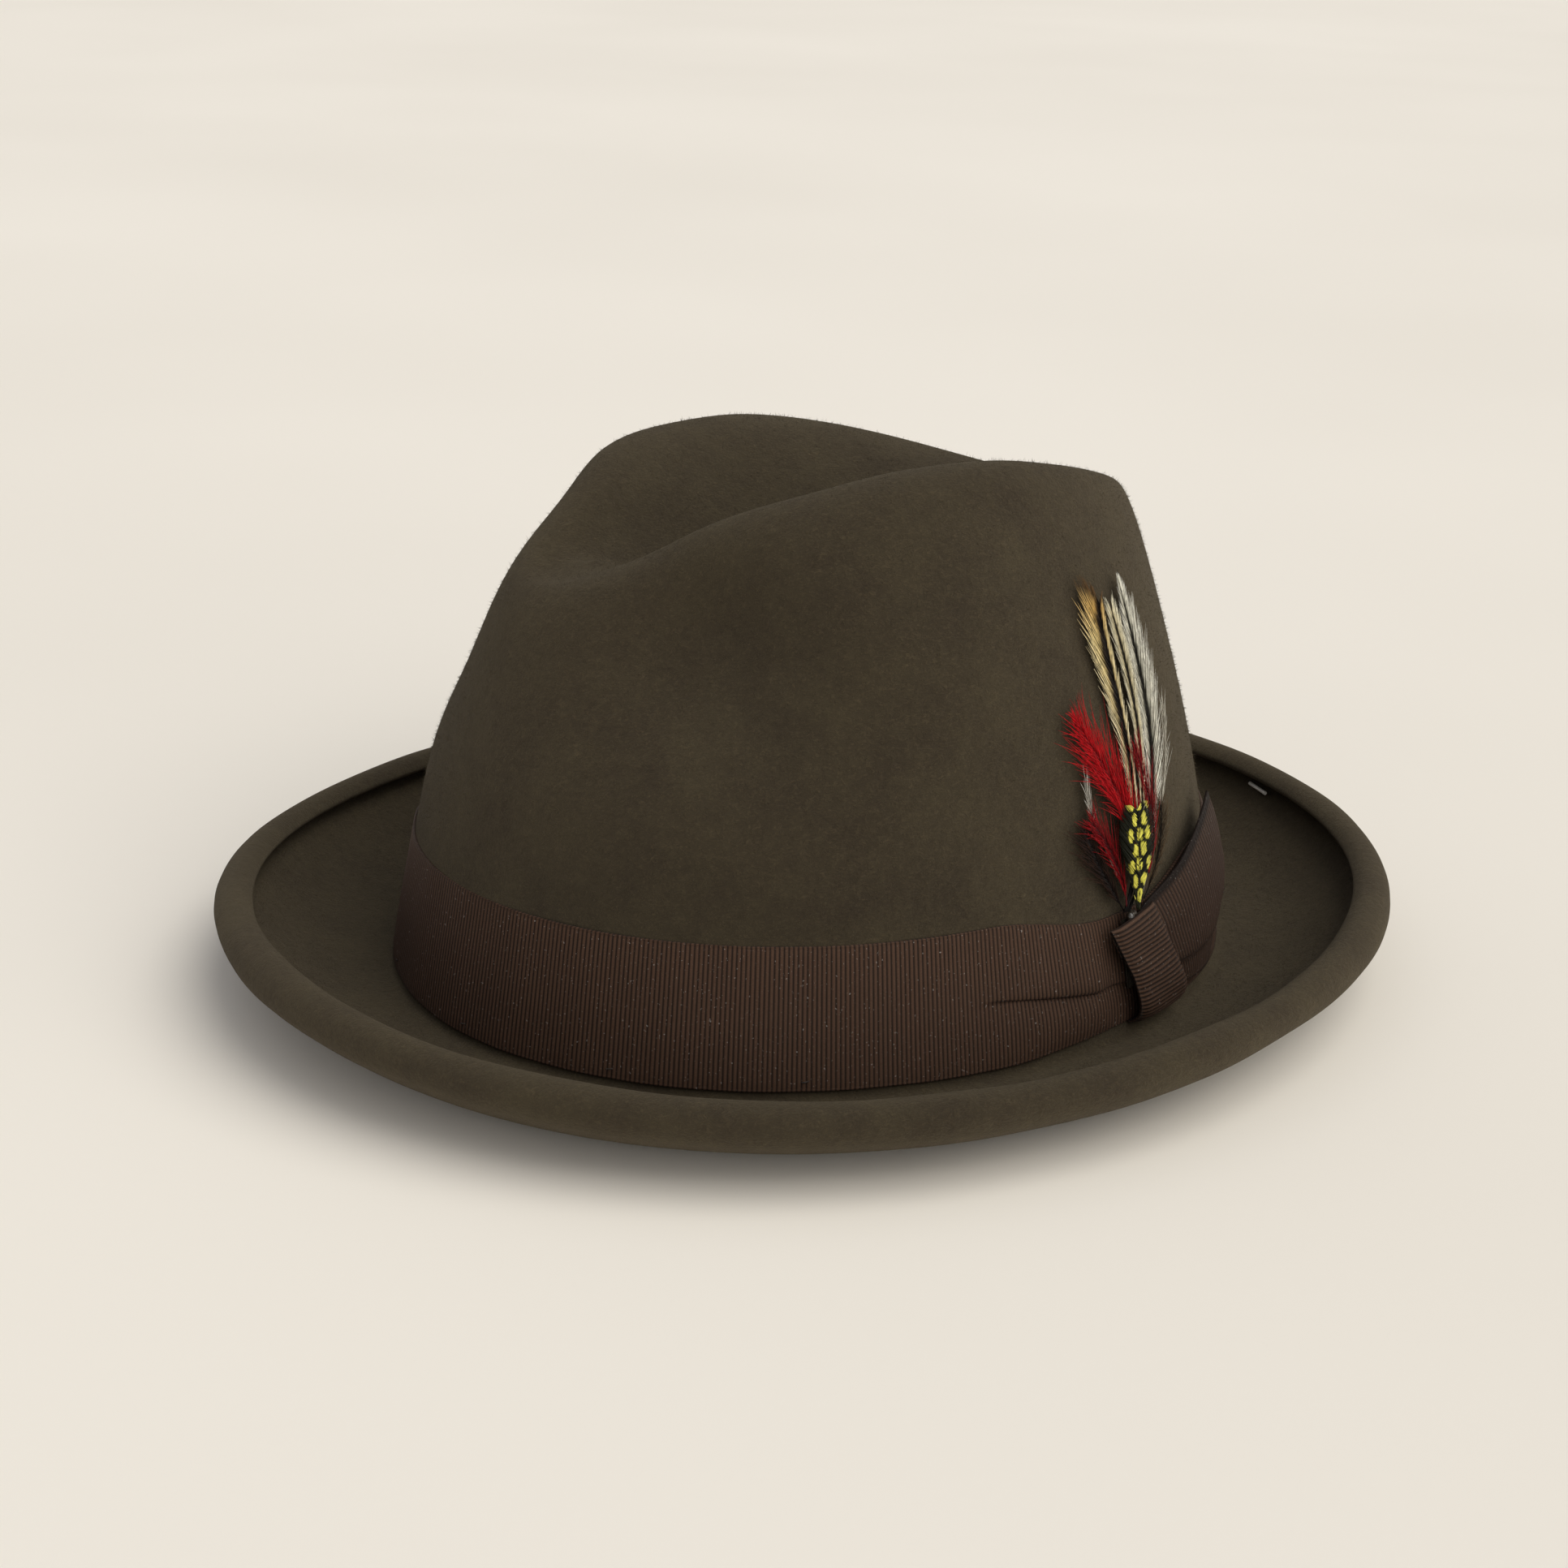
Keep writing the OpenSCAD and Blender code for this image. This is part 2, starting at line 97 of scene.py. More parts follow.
def ridge_h(f):
    s, c = sind(f), cosd(f)
    return 121.5 - 25.3 * ((1 - s) / 2) ** 4.18 - 18.3 * np.maximum(0, s) ** 2 + 2.2 * c + 7.4 * c * s


def pinch(f, h):
    across = np.exp(-((turn(f, -44.2) / 22.9) ** 2)) + np.exp(-((turn(f, -135.8) / 22.9) ** 2))
    return 13.2 * np.exp(-(((h - 87.3) / 23.5) ** 2)) * across


def pressed(xy, h, d):
    out = xy - np.array([0.0, MID_Y])
    out = out * (1 - d / np.linalg.norm(out, axis=-1))[..., None]
    return np.concatenate([out + np.array([0.0, MID_Y]), (h + FOOT_Z)[..., None]], -1)


def crown_at(f, z, inset=0.0):
    """The outside of the crown in direction f at height z, moved inwards by an inset."""
    f, z, inset = np.broadcast_arrays(np.asarray(f, float), np.asarray(z, float), np.asarray(inset, float))
    h = np.maximum(0, z - FOOT_Z)
    v = np.clip((h - WALL_TOP) / (ridge_h(f) - WALL_TOP), 0, 1)
    u = ((1 - v**2.2) ** (1 / 2.4))[..., None]
    p = pressed(mix(ridge_xy(f), wall_xy(f, h), u), h, pinch(f, h) + inset)
    p[..., 2] = z
    return p


def shoulder_point(f, t):
    u, v = sind(t) ** (2 / 2.4), cosd(t) ** (2 / 2.2)
    h = mix(WALL_TOP, ridge_h(f), v)
    return pressed(mix(ridge_xy(f), wall_xy(f, h), u), h, pinch(f, h))


def crease_point(f, r):
    s = sind(f)
    line = np.stack([np.full_like(s, -1.7), -12.8 + 44.8 * s], -1)
    floor = 90 + np.where(s < 0, 8, 10) * s * s
    h = mix(floor, ridge_h(f), smooth(r))
    return pressed(mix(line, ridge_xy(f), r), h, pinch(f, h) * smooth((r - 0.4) / 0.6))


def rim_z(f):
    return 18.3 - 1.6 * cosd(2 * f) + 1.2 * sind(3 * f)


def brim_heading(f):
    run = RIM_W + ROLL_R * 0.6 - HALF_W - FILLET_R
    return np.degrees(np.arctan(2 * (rim_z(f) - ROLL_R - FELT_T) / (run * (1 - FLAT_SHARE))))


def fillet_point(f, a):
    out = FILLET_R * (1 - cosd(a))
    z = FELT_T + FILLET_R * (1 - sind(a))
    return np.stack([(HALF_W + out) * cosd(f), (HALF_L + out) * sind(f), z + 0 * f], -1)


def roll_point(f, a):
    out = ROLL_R * sind(a)
    return np.stack([(RIM_W + out) * cosd(f), (RIM_L + out) * sind(f), rim_z(f) - ROLL_R * cosd(a)], -1)


def brim_point(f, s):
    start, end = fillet_point(f, 90.0), roll_point(f, brim_heading(f))
    rise = (max(0.0, s - FLAT_SHARE) / (1 - FLAT_SHARE)) ** 2
    p = mix(start, end, s)
    p[..., 2] = mix(start[..., 2], end[..., 2], rise)
    return p


WAVES = [
    (unit(rng.normal(size=3)), 2 * math.pi / rng.uniform(24, 70), rng.uniform(0, 6.28))
    for _ in range(9)
]


def handled(p):
    """How far hand shaping has moved the felt from its smooth form; nothing where it lies on the table."""
    wave = sum(np.sin((p @ d) * k + q) for d, k, q in WAVES)
    return 0.075 * wave * smooth((p[..., 2] - 4) / 12)


# ---------------- meshes
def loop_faces(rows, cols, wrap_rows, wrap_cols, ids=None):
    """Quads of a grid; they face outwards where rows run down and columns run anticlockwise."""
    ids = np.arange(rows * cols).reshape(rows, cols) if ids is None else ids
    if wrap_rows:
        ids = np.vstack([ids, ids[:1]])
    if wrap_cols:
        ids = np.hstack([ids, ids[:, :1]])
    quads = np.stack([ids[:-1, :-1], ids[1:, :-1], ids[1:, 1:], ids[:-1, 1:]], -1)
    return quads.reshape(-1, 4)


def add_piece(name, verts, faces, body, slot, material, replaces=(), uv=None, tone=None):
    """A mesh object from points in millimetres. uv and tone are given for each point."""
    me = bpy.data.meshes.new(name)
    verts = np.asarray(verts, float).reshape(-1, 3)
    faces = [list(map(int, q)) for q in faces] if isinstance(faces, list) else faces.tolist()
    me.from_pydata((verts * 0.001).tolist(), [], faces)
    me.update()
    me.polygons.foreach_set("use_smooth", np.ones(len(me.polygons), bool))
    if uv is not None:
        corner = np.zeros(len(me.loops), np.int32)
        me.loops.foreach_get("vertex_index", corner)
        values = np.asarray(uv, float).reshape(-1, 2)[corner].ravel()
        me.uv_layers.new(name="Cloth").data.foreach_set("uv", values)
    if tone is not None:
        tone = np.asarray(tone, float).reshape(len(verts), -1)
        for key, values in zip(("tone", "along"), tone.T):
            me.attributes.new(key, "FLOAT", "POINT").data.foreach_set("value", np.ascontiguousarray(values))
    ob = bpy.data.objects.new(name, me)
    bpy.context.scene.collection.objects.link(ob)
    me.materials.append(material)
    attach(ob, body)
    if replaces:
        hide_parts(*replaces)
    return ob


def shell(front, back, wrap_cols):
    """A closed sheet from two grids of points: rows from low to high, columns anticlockwise."""
    rows_f, rows_b, cols = front.shape[0], back.shape[0], front.shape[1]
    points = np.concatenate([front[::-1], back], 0)
    faces = loop_faces(rows_f + rows_b, cols, True, wrap_cols).tolist()
    if not wrap_cols:
        ids = np.arange((rows_f + rows_b) * cols).reshape(-1, cols)
        for c, flip in ((0, False), (cols - 1, True)):
            a, b = ids[:rows_f, c][::-1], ids[rows_f:, c]
            for k in range(min(rows_f, rows_b) - 1):
                q = [a[k], b[k], b[k + 1], a[k + 1]]
                faces.append([int(x) for x in (q[::-1] if flip else q)])
    return points, faces


def tube(path, radius, sides=8, closed=False):
    """Points and faces of a round tube along a path; radius may change along it."""
    path = np.asarray(path, float)
    n = len(path)
    radius = np.broadcast_to(np.asarray(radius, float), (n,))
    ahead = unit(np.roll(path, -1, 0) - np.roll(path, 1, 0) if closed else np.gradient(path, axis=0))
    side = unit(np.cross(ahead, np.array([0.31, -0.22, 0.93])))
    up = np.cross(side, ahead)
    a = np.arange(sides) * 2 * math.pi / sides
    ring = side[:, None] * np.cos(a)[None, :, None] + up[:, None] * np.sin(a)[None, :, None]
    points = path[:, None] + ring * radius[:, None, None]
    faces = loop_faces(n, sides, closed, True).tolist()
    if not closed:
        faces += [list(range(sides)), [(n - 1) * sides + k for k in range(sides)][::-1]]
    return points.reshape(-1, 3), faces


def join(parts):
    """One list of points and faces from several."""
    points, faces, start = [], [], 0
    for p, f in parts:
        p = np.asarray(p, float).reshape(-1, 3)
        points.append(p)
        faces += [[int(i) + start for i in q] for q in f]
        start += len(p)
    return np.concatenate(points), faces


# ---------------- materials
class Paint:
    """A node material, with short ways to add the nodes that all of them use."""

    def __init__(self, name):
        self.material = bpy.data.materials.new(name)
        self.material.use_nodes = True
        self.tree = self.material.node_tree
        self.shader = self.tree.nodes["Principled BSDF"]
        self.place = self.add("ShaderNodeTexCoord")

    def add(self, kind, **values):
        node = self.tree.nodes.new(kind)
        for key, value in values.items():
            setattr(node, key, value)
        return node

    def link(self, a, b):
        self.tree.links.new(a, b)

    def surface(self, **values):
        for key, value in values.items():
            self.shader.inputs[key.replace("_", " ")].default_value = value

    def noise(self, scale, detail=3.0, rough=0.6, stretch=None, coords="Object", distort=0.0):
        node = self.add("ShaderNodeTexNoise")
        node.inputs["Scale"].default_value = scale
        node.inputs["Detail"].default_value = detail
        node.inputs["Roughness"].default_value = rough
        node.inputs["Distortion"].default_value = distort
        source = self.place.outputs[coords]
        if stretch:
            mapping = self.add("ShaderNodeMapping")
            mapping.inputs["Scale"].default_value = stretch
            self.link(source, mapping.inputs["Vector"])
            source = mapping.outputs["Vector"]
        self.link(source, node.inputs["Vector"])
        return node.outputs["Fac"]

    def ramp(self, source, stops):
        node = self.add("ShaderNodeValToRGB")
        items = node.color_ramp.elements
        while len(items) < len(stops):
            items.new(0.5)
        for item, (at, colour) in zip(items, stops):
            item.position = at
            item.color = (*colour, 1)
        self.link(source, node.inputs["Fac"])
        return node.outputs["Color"]

    def math(self, operation, a, b):
        node = self.add("ShaderNodeMath", operation=operation)
        for k, value in enumerate((a, b)):
            if isinstance(value, (int, float)):
                node.inputs[k].default_value = value
            else:
                self.link(value, node.inputs[k])
        return node.outputs[0]

    def blend(self, share, a, b, kind="MIX"):
        node = self.add("ShaderNodeMix", data_type="RGBA", blend_type=kind)
        for key, value in ((0, share), (6, a), (7, b)):
            if isinstance(value, (int, float)):
                node.inputs[key].default_value = value
            elif isinstance(value, tuple):
                node.inputs[key].default_value = (*value, 1)
            else:
                self.link(value, node.inputs[key])
        return node.outputs[2]

    def colour(self, source):
        self.link(source, self.shader.inputs["Base Color"])

    def bump(self, height, distance, strength=1.0, below=None):
        node = self.add("ShaderNodeBump")
        node.inputs["Distance"].default_value = distance
        node.inputs["Strength"].default_value = strength
        self.link(height, node.inputs["Height"])
        if below is not None:
            self.link(below, node.inputs["Normal"])
        self.link(node.outputs["Normal"], self.shader.inputs["Normal"])
        return node.outputs["Normal"]


def felt_paint(name, dark, light, fleck):
    p = Paint(name)
    p.surface(Roughness=0.95, Sheen_Weight=0.2, Sheen_Roughness=0.55, Specular_IOR_Level=0.12)
    p.shader.inputs["Sheen Tint"].default_value = (0.62, 0.52, 0.36, 1)
    patches = p.noise(60, 3, 0.6)
    mottled = p.noise(420, 4, 0.7)
    hairs = p.noise(1100, 4, 0.8, (1.0, 0.45, 1.0), distort=2.0)
    base = p.blend(p.ramp(patches, [(0.3, (0.0, 0.0, 0.0)), (0.7, (1.0, 1.0, 1.0))]), dark, light)
    base = p.blend(p.math("MULTIPLY", mottled, 0.6), base, p.ramp(mottled, [(0.36, dark), (0.64, light)]))
    lit = p.ramp(hairs, [(0.5, (0.0, 0.0, 0.0)), (0.68, fleck)])
    p.colour(p.blend(0.8, base, lit, "ADD"))
    soft = p.bump(mottled, 0.0007, 0.6)
    p.bump(hairs, 0.0005, 0.8, soft)
    return p.material


def cloth_paint(
    name, dark, light, roughness, thread=5.2, glints=0.0, sheen=0.25, ribbed=False, specular=0.35
):
    """Ribbon or satin; its fine threads run along the cloth, whose UV is in millimetres. With ribbed, the
    tone attribute paints shade into the rib valleys and highlight onto the rib crests; glints are painted
    highlight specks.
    """
    p = Paint(name)
    p.surface(Roughness=roughness, Sheen_Weight=sheen, Sheen_Roughness=0.4, Specular_IOR_Level=specular)
    fine = p.noise(thread, 2, 0.5, (0.25, 4.0, 1.0), "UV")
    cloud = p.noise(120, 3, 0.6)
    spread = p.noise(2000, 2, 0.6)
    base = p.ramp(fine, [(0.3, dark), (0.72, light)])
    base = p.blend(p.math("MULTIPLY", cloud, 0.6), base, dark)
    if ribbed:
        # painted rib light and shade: tone 0 in a valley darkens the colour to 0.15, tone 1 on a crest
        # lightens it to 1.4
        painted_rib_shade = p.add("ShaderNodeAttribute", attribute_name="tone").outputs["Fac"]
        shade = p.ramp(painted_rib_shade, [(0.0, (0.15, 0.14, 0.13)), (0.5, (0.6, 0.6, 0.6)), (1.0, (1.4, 1.38, 1.36))])
        base = p.blend(1.0, base, shade, "MULTIPLY")
    # painted glints: where the fine noise is high, the colour is mixed towards a pale highlight
    glint = p.math("MULTIPLY", p.math("GREATER_THAN", spread, 0.7), glints)
    p.colour(p.blend(glint, base, (0.42, 0.38, 0.35)))
    p.bump(fine, 0.00012, 0.7)
    return p.material


def leather_paint():
    p = Paint("sweatband_leather")
    p.surface(Roughness=0.55, Specular_IOR_Level=0.4, Coat_Weight=0.05, Coat_Roughness=0.5)
    cells = p.add("ShaderNodeTexVoronoi", feature="DISTANCE_TO_EDGE")
    cells.inputs["Scale"].default_value = 900
    p.link(p.place.outputs["Object"], cells.inputs["Vector"])
    patch = p.noise(45, 4, 0.6)
    wear = p.noise(200, 3, 0.6)
    base = p.ramp(patch, [(0.3, (0.085, 0.042, 0.022)), (0.7, (0.15, 0.078, 0.042))])
    p.colour(p.blend(p.math("MULTIPLY", wear, 0.35), base, (0.2, 0.12, 0.07)))
    p.bump(cells.outputs["Distance"], 0.00025, 0.5)
    return p.material


def plain_paint(name, dark, light, roughness, scale=400, bump=0.0001, specular=0.4):
    """A small hard or papery thing with a little unevenness in its colour and surface."""
    p = Paint(name)
    p.surface(Roughness=roughness, Specular_IOR_Level=specular)
    fine = p.noise(scale, 4, 0.6)
    p.colour(p.ramp(fine, [(0.35, dark), (0.65, light)]))
    p.bump(fine, bump, 0.6)
    return p.material


def barb_paint(name, stops, roughness=0.5, streak=0.35, dark=(0.01, 0.008, 0.006), tint=()):
    """Feather barbs; tone runs from the quill, at 0, to the tip of a barb, at 1."""
    p = Paint(name)
    p.surface(Roughness=roughness, Sheen_Weight=0.02, Sheen_Roughness=0.35, Specular_IOR_Level=0.15)
    tone = p.add("ShaderNodeAttribute", attribute_name="tone").outputs["Fac"]
    uneven = p.noise(1400, 2, 0.6, (1.0, 1.0, 0.25))
    base = p.ramp(tone, stops)
    shade = p.ramp(uneven, [(0.3, (0.55, 0.55, 0.55)), (0.62, (1.0, 1.0, 1.0))])
    base = p.blend(1.0, base, shade, "MULTIPLY")
    if tint:
        along = p.add("ShaderNodeAttribute", attribute_name="along").outputs["Fac"]
        base = p.blend(1.0, base, p.ramp(along, tint), "MULTIPLY")
    p.colour(p.blend(p.math("MULTIPLY", p.math("LESS_THAN", uneven, 0.36), streak), base, dark))
    p.bump(uneven, 0.0001, 0.4)
    return p.material


FELT = felt_paint("felt", (0.0270, 0.0200, 0.0128), (0.0440, 0.0345, 0.0196), (0.030, 0.0225, 0.0125))
NAP = felt_paint("felt_nap", (0.046, 0.036, 0.021), (0.100, 0.080, 0.049), (0.02, 0.016, 0.01))
RIBBON = cloth_paint(
    "ribbon", (0.040, 0.0215, 0.0130), (0.088, 0.0485, 0.0305), 0.6,
    glints=0.5, sheen=0.02, ribbed=True, specular=0.15,
)
LEATHER = leather_paint()
SATIN = cloth_paint("lining_satin", (0.22, 0.15, 0.085), (0.36, 0.27, 0.16), 0.3, thread=9.0, sheen=0.4)
THREAD = plain_paint("band_thread", (0.015, 0.011, 0.009), (0.045, 0.034, 0.027), 0.8, 1500)
STITCH = plain_paint("sweatband_thread", (0.28, 0.2, 0.12), (0.46, 0.36, 0.23), 0.75, 1500)
REED = plain_paint("reed", (0.62, 0.56, 0.46), (0.74, 0.69, 0.58), 0.4, 300)
TAPE = cloth_paint("seam_tape", (0.045, 0.026, 0.018), (0.09, 0.055, 0.038), 0.65, thread=7.0)
PAPER = plain_paint("paper_tab", (0.7, 0.68, 0.62), (0.82, 0.8, 0.75), 0.85, 700, 0.00006, 0.2)
NYLON = plain_paint("clear_nylon", (0.66, 0.62, 0.55), (0.8, 0.77, 0.7), 0.3, 250, 0.00004, 0.6)
PAD = felt_paint("backing_felt", (0.016, 0.013, 0.01), (0.03, 0.025, 0.02), (0.02, 0.018, 0.015))
GLUE = plain_paint("quill_glue", (0.006, 0.005, 0.004), (0.03, 0.024, 0.018), 0.16, 500, 0.0002, 0.7)
QUILL = plain_paint("quill_horn", (0.03, 0.022, 0.014), (0.09, 0.07, 0.05), 0.35, 600)

# ---------------- felt body
AROUND = 360
CREASE_RINGS, SHOULDER_RINGS, WALL_RINGS, FILLET_RINGS, BRIM_RINGS, ROLL_RINGS = 24, 30, 18, 5, 24, 23
BRIM_START = CREASE_RINGS + SHOULDER_RINGS + WALL_RINGS + FILLET_RINGS
# the nap stops a little below the upper edge of the band
CROWN_NAP_END = CREASE_RINGS + SHOULDER_RINGS + 10


def felt_face():
    f = np.arange(AROUND) * 360.0 / AROUND
    rings = [crease_point(f, r) for r in np.linspace(0, 1, CREASE_RINGS + 1)[:-1]]
    rings += [shoulder_point(f, t) for t in np.linspace(0, 90, SHOULDER_RINGS + 1)[:-1]]
    rings += [crown_at(f, z) for z in np.linspace(FOOT_Z + WALL_TOP, FOOT_Z, WALL_RINGS + 1)[:-1]]
    rings += [fillet_point(f, a) for a in np.linspace(0, 90, FILLET_RINGS + 1)[:-1]]
    rings += [brim_point(f, s) for s in np.linspace(0, 1, BRIM_RINGS + 1)[:-1]]
    heading = brim_heading(f)
    rings += [roll_point(f, mix(heading, ROLL_END, k)) for k in np.linspace(0, 1, ROLL_RINGS)]
    return np.array(rings)


def ring_normals(rings):
    along = np.roll(rings, -1, 1) - np.roll(rings, 1, 1)
    down = np.empty_like(rings)
    down[1:-1] = rings[2:] - rings[:-2]
    down[0], down[-1] = rings[1] - rings[0], rings[-1] - rings[-2]
    n = unit(np.cross(down, along))
    half = AROUND // 2
    mirror = (half - np.arange(AROUND)) % AROUND
    n[0] = unit(n[1] + n[1][mirror])
    return n


def felt_body():
    """Adds the felt, and gives the rings of its outer face with their normals."""
    upper = felt_face()
    upper = upper + ring_normals(upper) * handled(upper)[..., None]
    normal = ring_normals(upper)
    lower = upper - FELT_T * normal
    last_down = unit(upper[-1] - upper[-2])
    edge = [
        (upper[-1] + lower[-1]) / 2 + 1.5 * (cosd(a) * normal[-1] + 0.55 * sind(a) * last_down)
        for a in (18, 40, 65, 90, 115, 140, 162)
    ]
    inside = np.concatenate([lower[:1], lower[2:-1:2], lower[-1:]])
    points = np.concatenate([upper, np.array(edge), inside[::-1]])
    ids = np.arange(len(points) * AROUND).reshape(-1, AROUND)
    k = np.arange(AROUND)
    fold = np.minimum(k, (AROUND // 2 - k) % AROUND)
    ids[0], ids[-1] = ids[0][fold], ids[-1][fold]
    faces = loop_faces(len(points), AROUND, False, True, ids)
    used, renumbered = np.unique(faces, return_inverse=True)
    verts, faces = points.reshape(-1, 3)[used], renumbered.reshape(faces.shape)
    add_piece("felt_hat", verts, faces, "root", "felt", FELT, ["felt_body"])
    return upper, normal


upper, normal = felt_body()


def nap(name, rings, normals, count, longest):
    """Short fibres that stand on the felt; each is a thin closed spike."""
    a, b = rings[:-1], np.roll(rings[:-1], -1, 1)
    c, d = np.roll(rings[1:], -1, 1), rings[1:]
    area = np.linalg.norm(np.cross(c - a, d - b), axis=-1).ravel()
    cell = rng.choice(area.size, count, p=area / area.sum())
    u, v = rng.random((2, count, 1))
    corner = [q.reshape(-1, 3)[cell] for q in (a, b, c, d)]
    base = mix(mix(corner[0], corner[1], u), mix(corner[3], corner[2], u), v)
    n = normals[:-1].reshape(-1, 3)[cell]
    way = unit(0.75 * n + 0.8 * rng.normal(size=(count, 3)) + np.array([0, 0, -0.25]))
    way = unit(way + np.maximum(0.15 - (way * n).sum(-1, keepdims=True), 0) * n)
    size = longest * rng.uniform(0.35, 1.0, (count, 1))
    e1 = unit(np.cross(way, rng.normal(size=(count, 3))))
    e2 = np.cross(way, e1)
    r = 0.055
    spikes = np.stack(
        [
            base - 0.15 * n + r * e1,
            base - 0.15 * n + r * (-0.5 * e1 + 0.87 * e2),
            base - 0.15 * n + r * (-0.5 * e1 - 0.87 * e2),
            base + way * size,
        ],
        1,
    )
    start = 4 * np.arange(count)[:, None, None]
    tri = np.array([[0, 1, 3], [1, 2, 3], [2, 0, 3], [0, 2, 1]]) + start
    return add_piece(name, spikes, tri.reshape(-1, 3), "root", "felt", NAP)


nap("felt_nap_crown", upper[: CROWN_NAP_END + 1], normal[: CROWN_NAP_END + 1], 49000, 1.25)
nap("felt_nap_brim", upper[BRIM_START:], normal[BRIM_START:], 49000, 1.15)

# ---------------- ribbon
RIB = 1.03
RIB_DEEP = 0.15
RIB_PROFILE = np.array([0.0, 0.8, 1.0, 0.8])


def ribs(count):
    """Height of the ribs at each of four points a rib."""
    return RIB_DEEP * np.tile(RIB_PROFILE, count)


def gather(f):
    return smooth((22 - np.abs(turn(f, GATHER_AT))) / 19)


def pleat(f):
    g = turn(f, 0)
    open_part = smooth((g + 5) / 22) * (1 - 0.6 * smooth((g - 15) / 4)) * (1 - smooth((g - 33) / 12))
    return np.where((g > -8) & (g < 46), open_part, 0.0)


def band():
    fine = np.linspace(0, 360, 7201)
    at = crown_at(fine, 21.0)
    run = np.concatenate([[0], np.cumsum(np.linalg.norm(np.diff(at, axis=0), axis=1))])
    count = int(round(run[-1] / RIB))
    step = np.arange(count * 4) / (count * 4) * run[-1]
    f = np.interp(step, run, fine)
    g, fold = gather(f), pleat(f)
    low = FOOT_Z + 1.3 * g
    high = FOOT_Z + 31.5 - 5 * g
    line = 20.8 - 0.21 * np.clip(turn(f, 0), -5, 45)
    line = mix(mix(low, high, 0.47), line, smooth(fold * 6))
    base = 0.7
    z, out, rib = [], [], []
    for s in (0, 0.02, 0.05, 0.2, 0.4, 0.6, 0.8, 0.93, 1.0):
        z.append(mix(low, line + 1.0 * fold - 0.2 * (1 - fold), s))
        swell = math.sin(math.pi * min(1, s * 1.1)) - 0.45 * s**6
        out.append(base + fold * swell + 0.12 * (s < 0.01))
        rib.append(0.0 if s < 0.03 else 1.0)
    for dz_fold, dz_flat, bulge in ((-1.0, 0.15, 0.9), (-0.55, 0.4, 1.5), (0.2, 0.8, 1.85)):
        z.append(line + dz_fold * fold + dz_flat * (1 - fold))
        out.append(base + bulge * fold)
        rib.append(1.0)
    for s in (0.12, 0.3, 0.5, 0.7, 0.88, 0.95, 0.985, 1.0):
        z.append(mix(line + 0.8, high, s))
        out.append(base + fold * 1.95 * (1 - s) ** 0.8 + 0.12 * (s > 0.99))
        rib.append(0.0 if s > 0.96 else 1.0)
    z, out = np.array(z), np.array(out)
    # soft lumps where the ribbon was steamed round the crown
    out = out + 0.10 * np.sin(np.radians(f) * 9 + 1.0) * np.sin(z / 7.0) + 0.06 * np.sin(np.radians(f) * 31)
    rise = np.array(rib)[:, None] * ribs(count)[None, :] * (1 - 0.35 * (1 - smooth((out - 0.5) * 4)))
    front = crown_at(f[None, :], z, -(out + rise))
    back_rows = [0, 8, 11, len(z) - 1]
    back = crown_at(f[None, :], z[back_rows], -0.12)
    points, faces = shell(front, back, True)
    # painted rib shade for the band: the rib profile repeated along every row, dark in the valleys and
    # light on the crests
    painted_rib_shade = np.broadcast_to(np.tile(RIB_PROFILE, count), points.shape[:2])
    every = np.concatenate([z[::-1], z[back_rows]])
    uv = np.stack([np.broadcast_to(step, every.shape), every], -1)
    ob = add_piece("ribbon_band", points, faces, "root", "ribbon", RIBBON, ["hat_band"], uv, painted_rib_shade)


band()

KNOT_LOW, KNOT_HIGH, KNOT_OUT, KNOT_FOOT = FOOT_Z + 1.0, 32.0, 5.8, 0.8


def strip_uv(rows, cols, pitch_row, pitch_col, swap=False):
    r, c = np.meshgrid(np.arange(rows) * pitch_row, np.arange(cols) * pitch_col, indexing="ij")
    return np.stack([r, c] if swap else [c, r], -1)


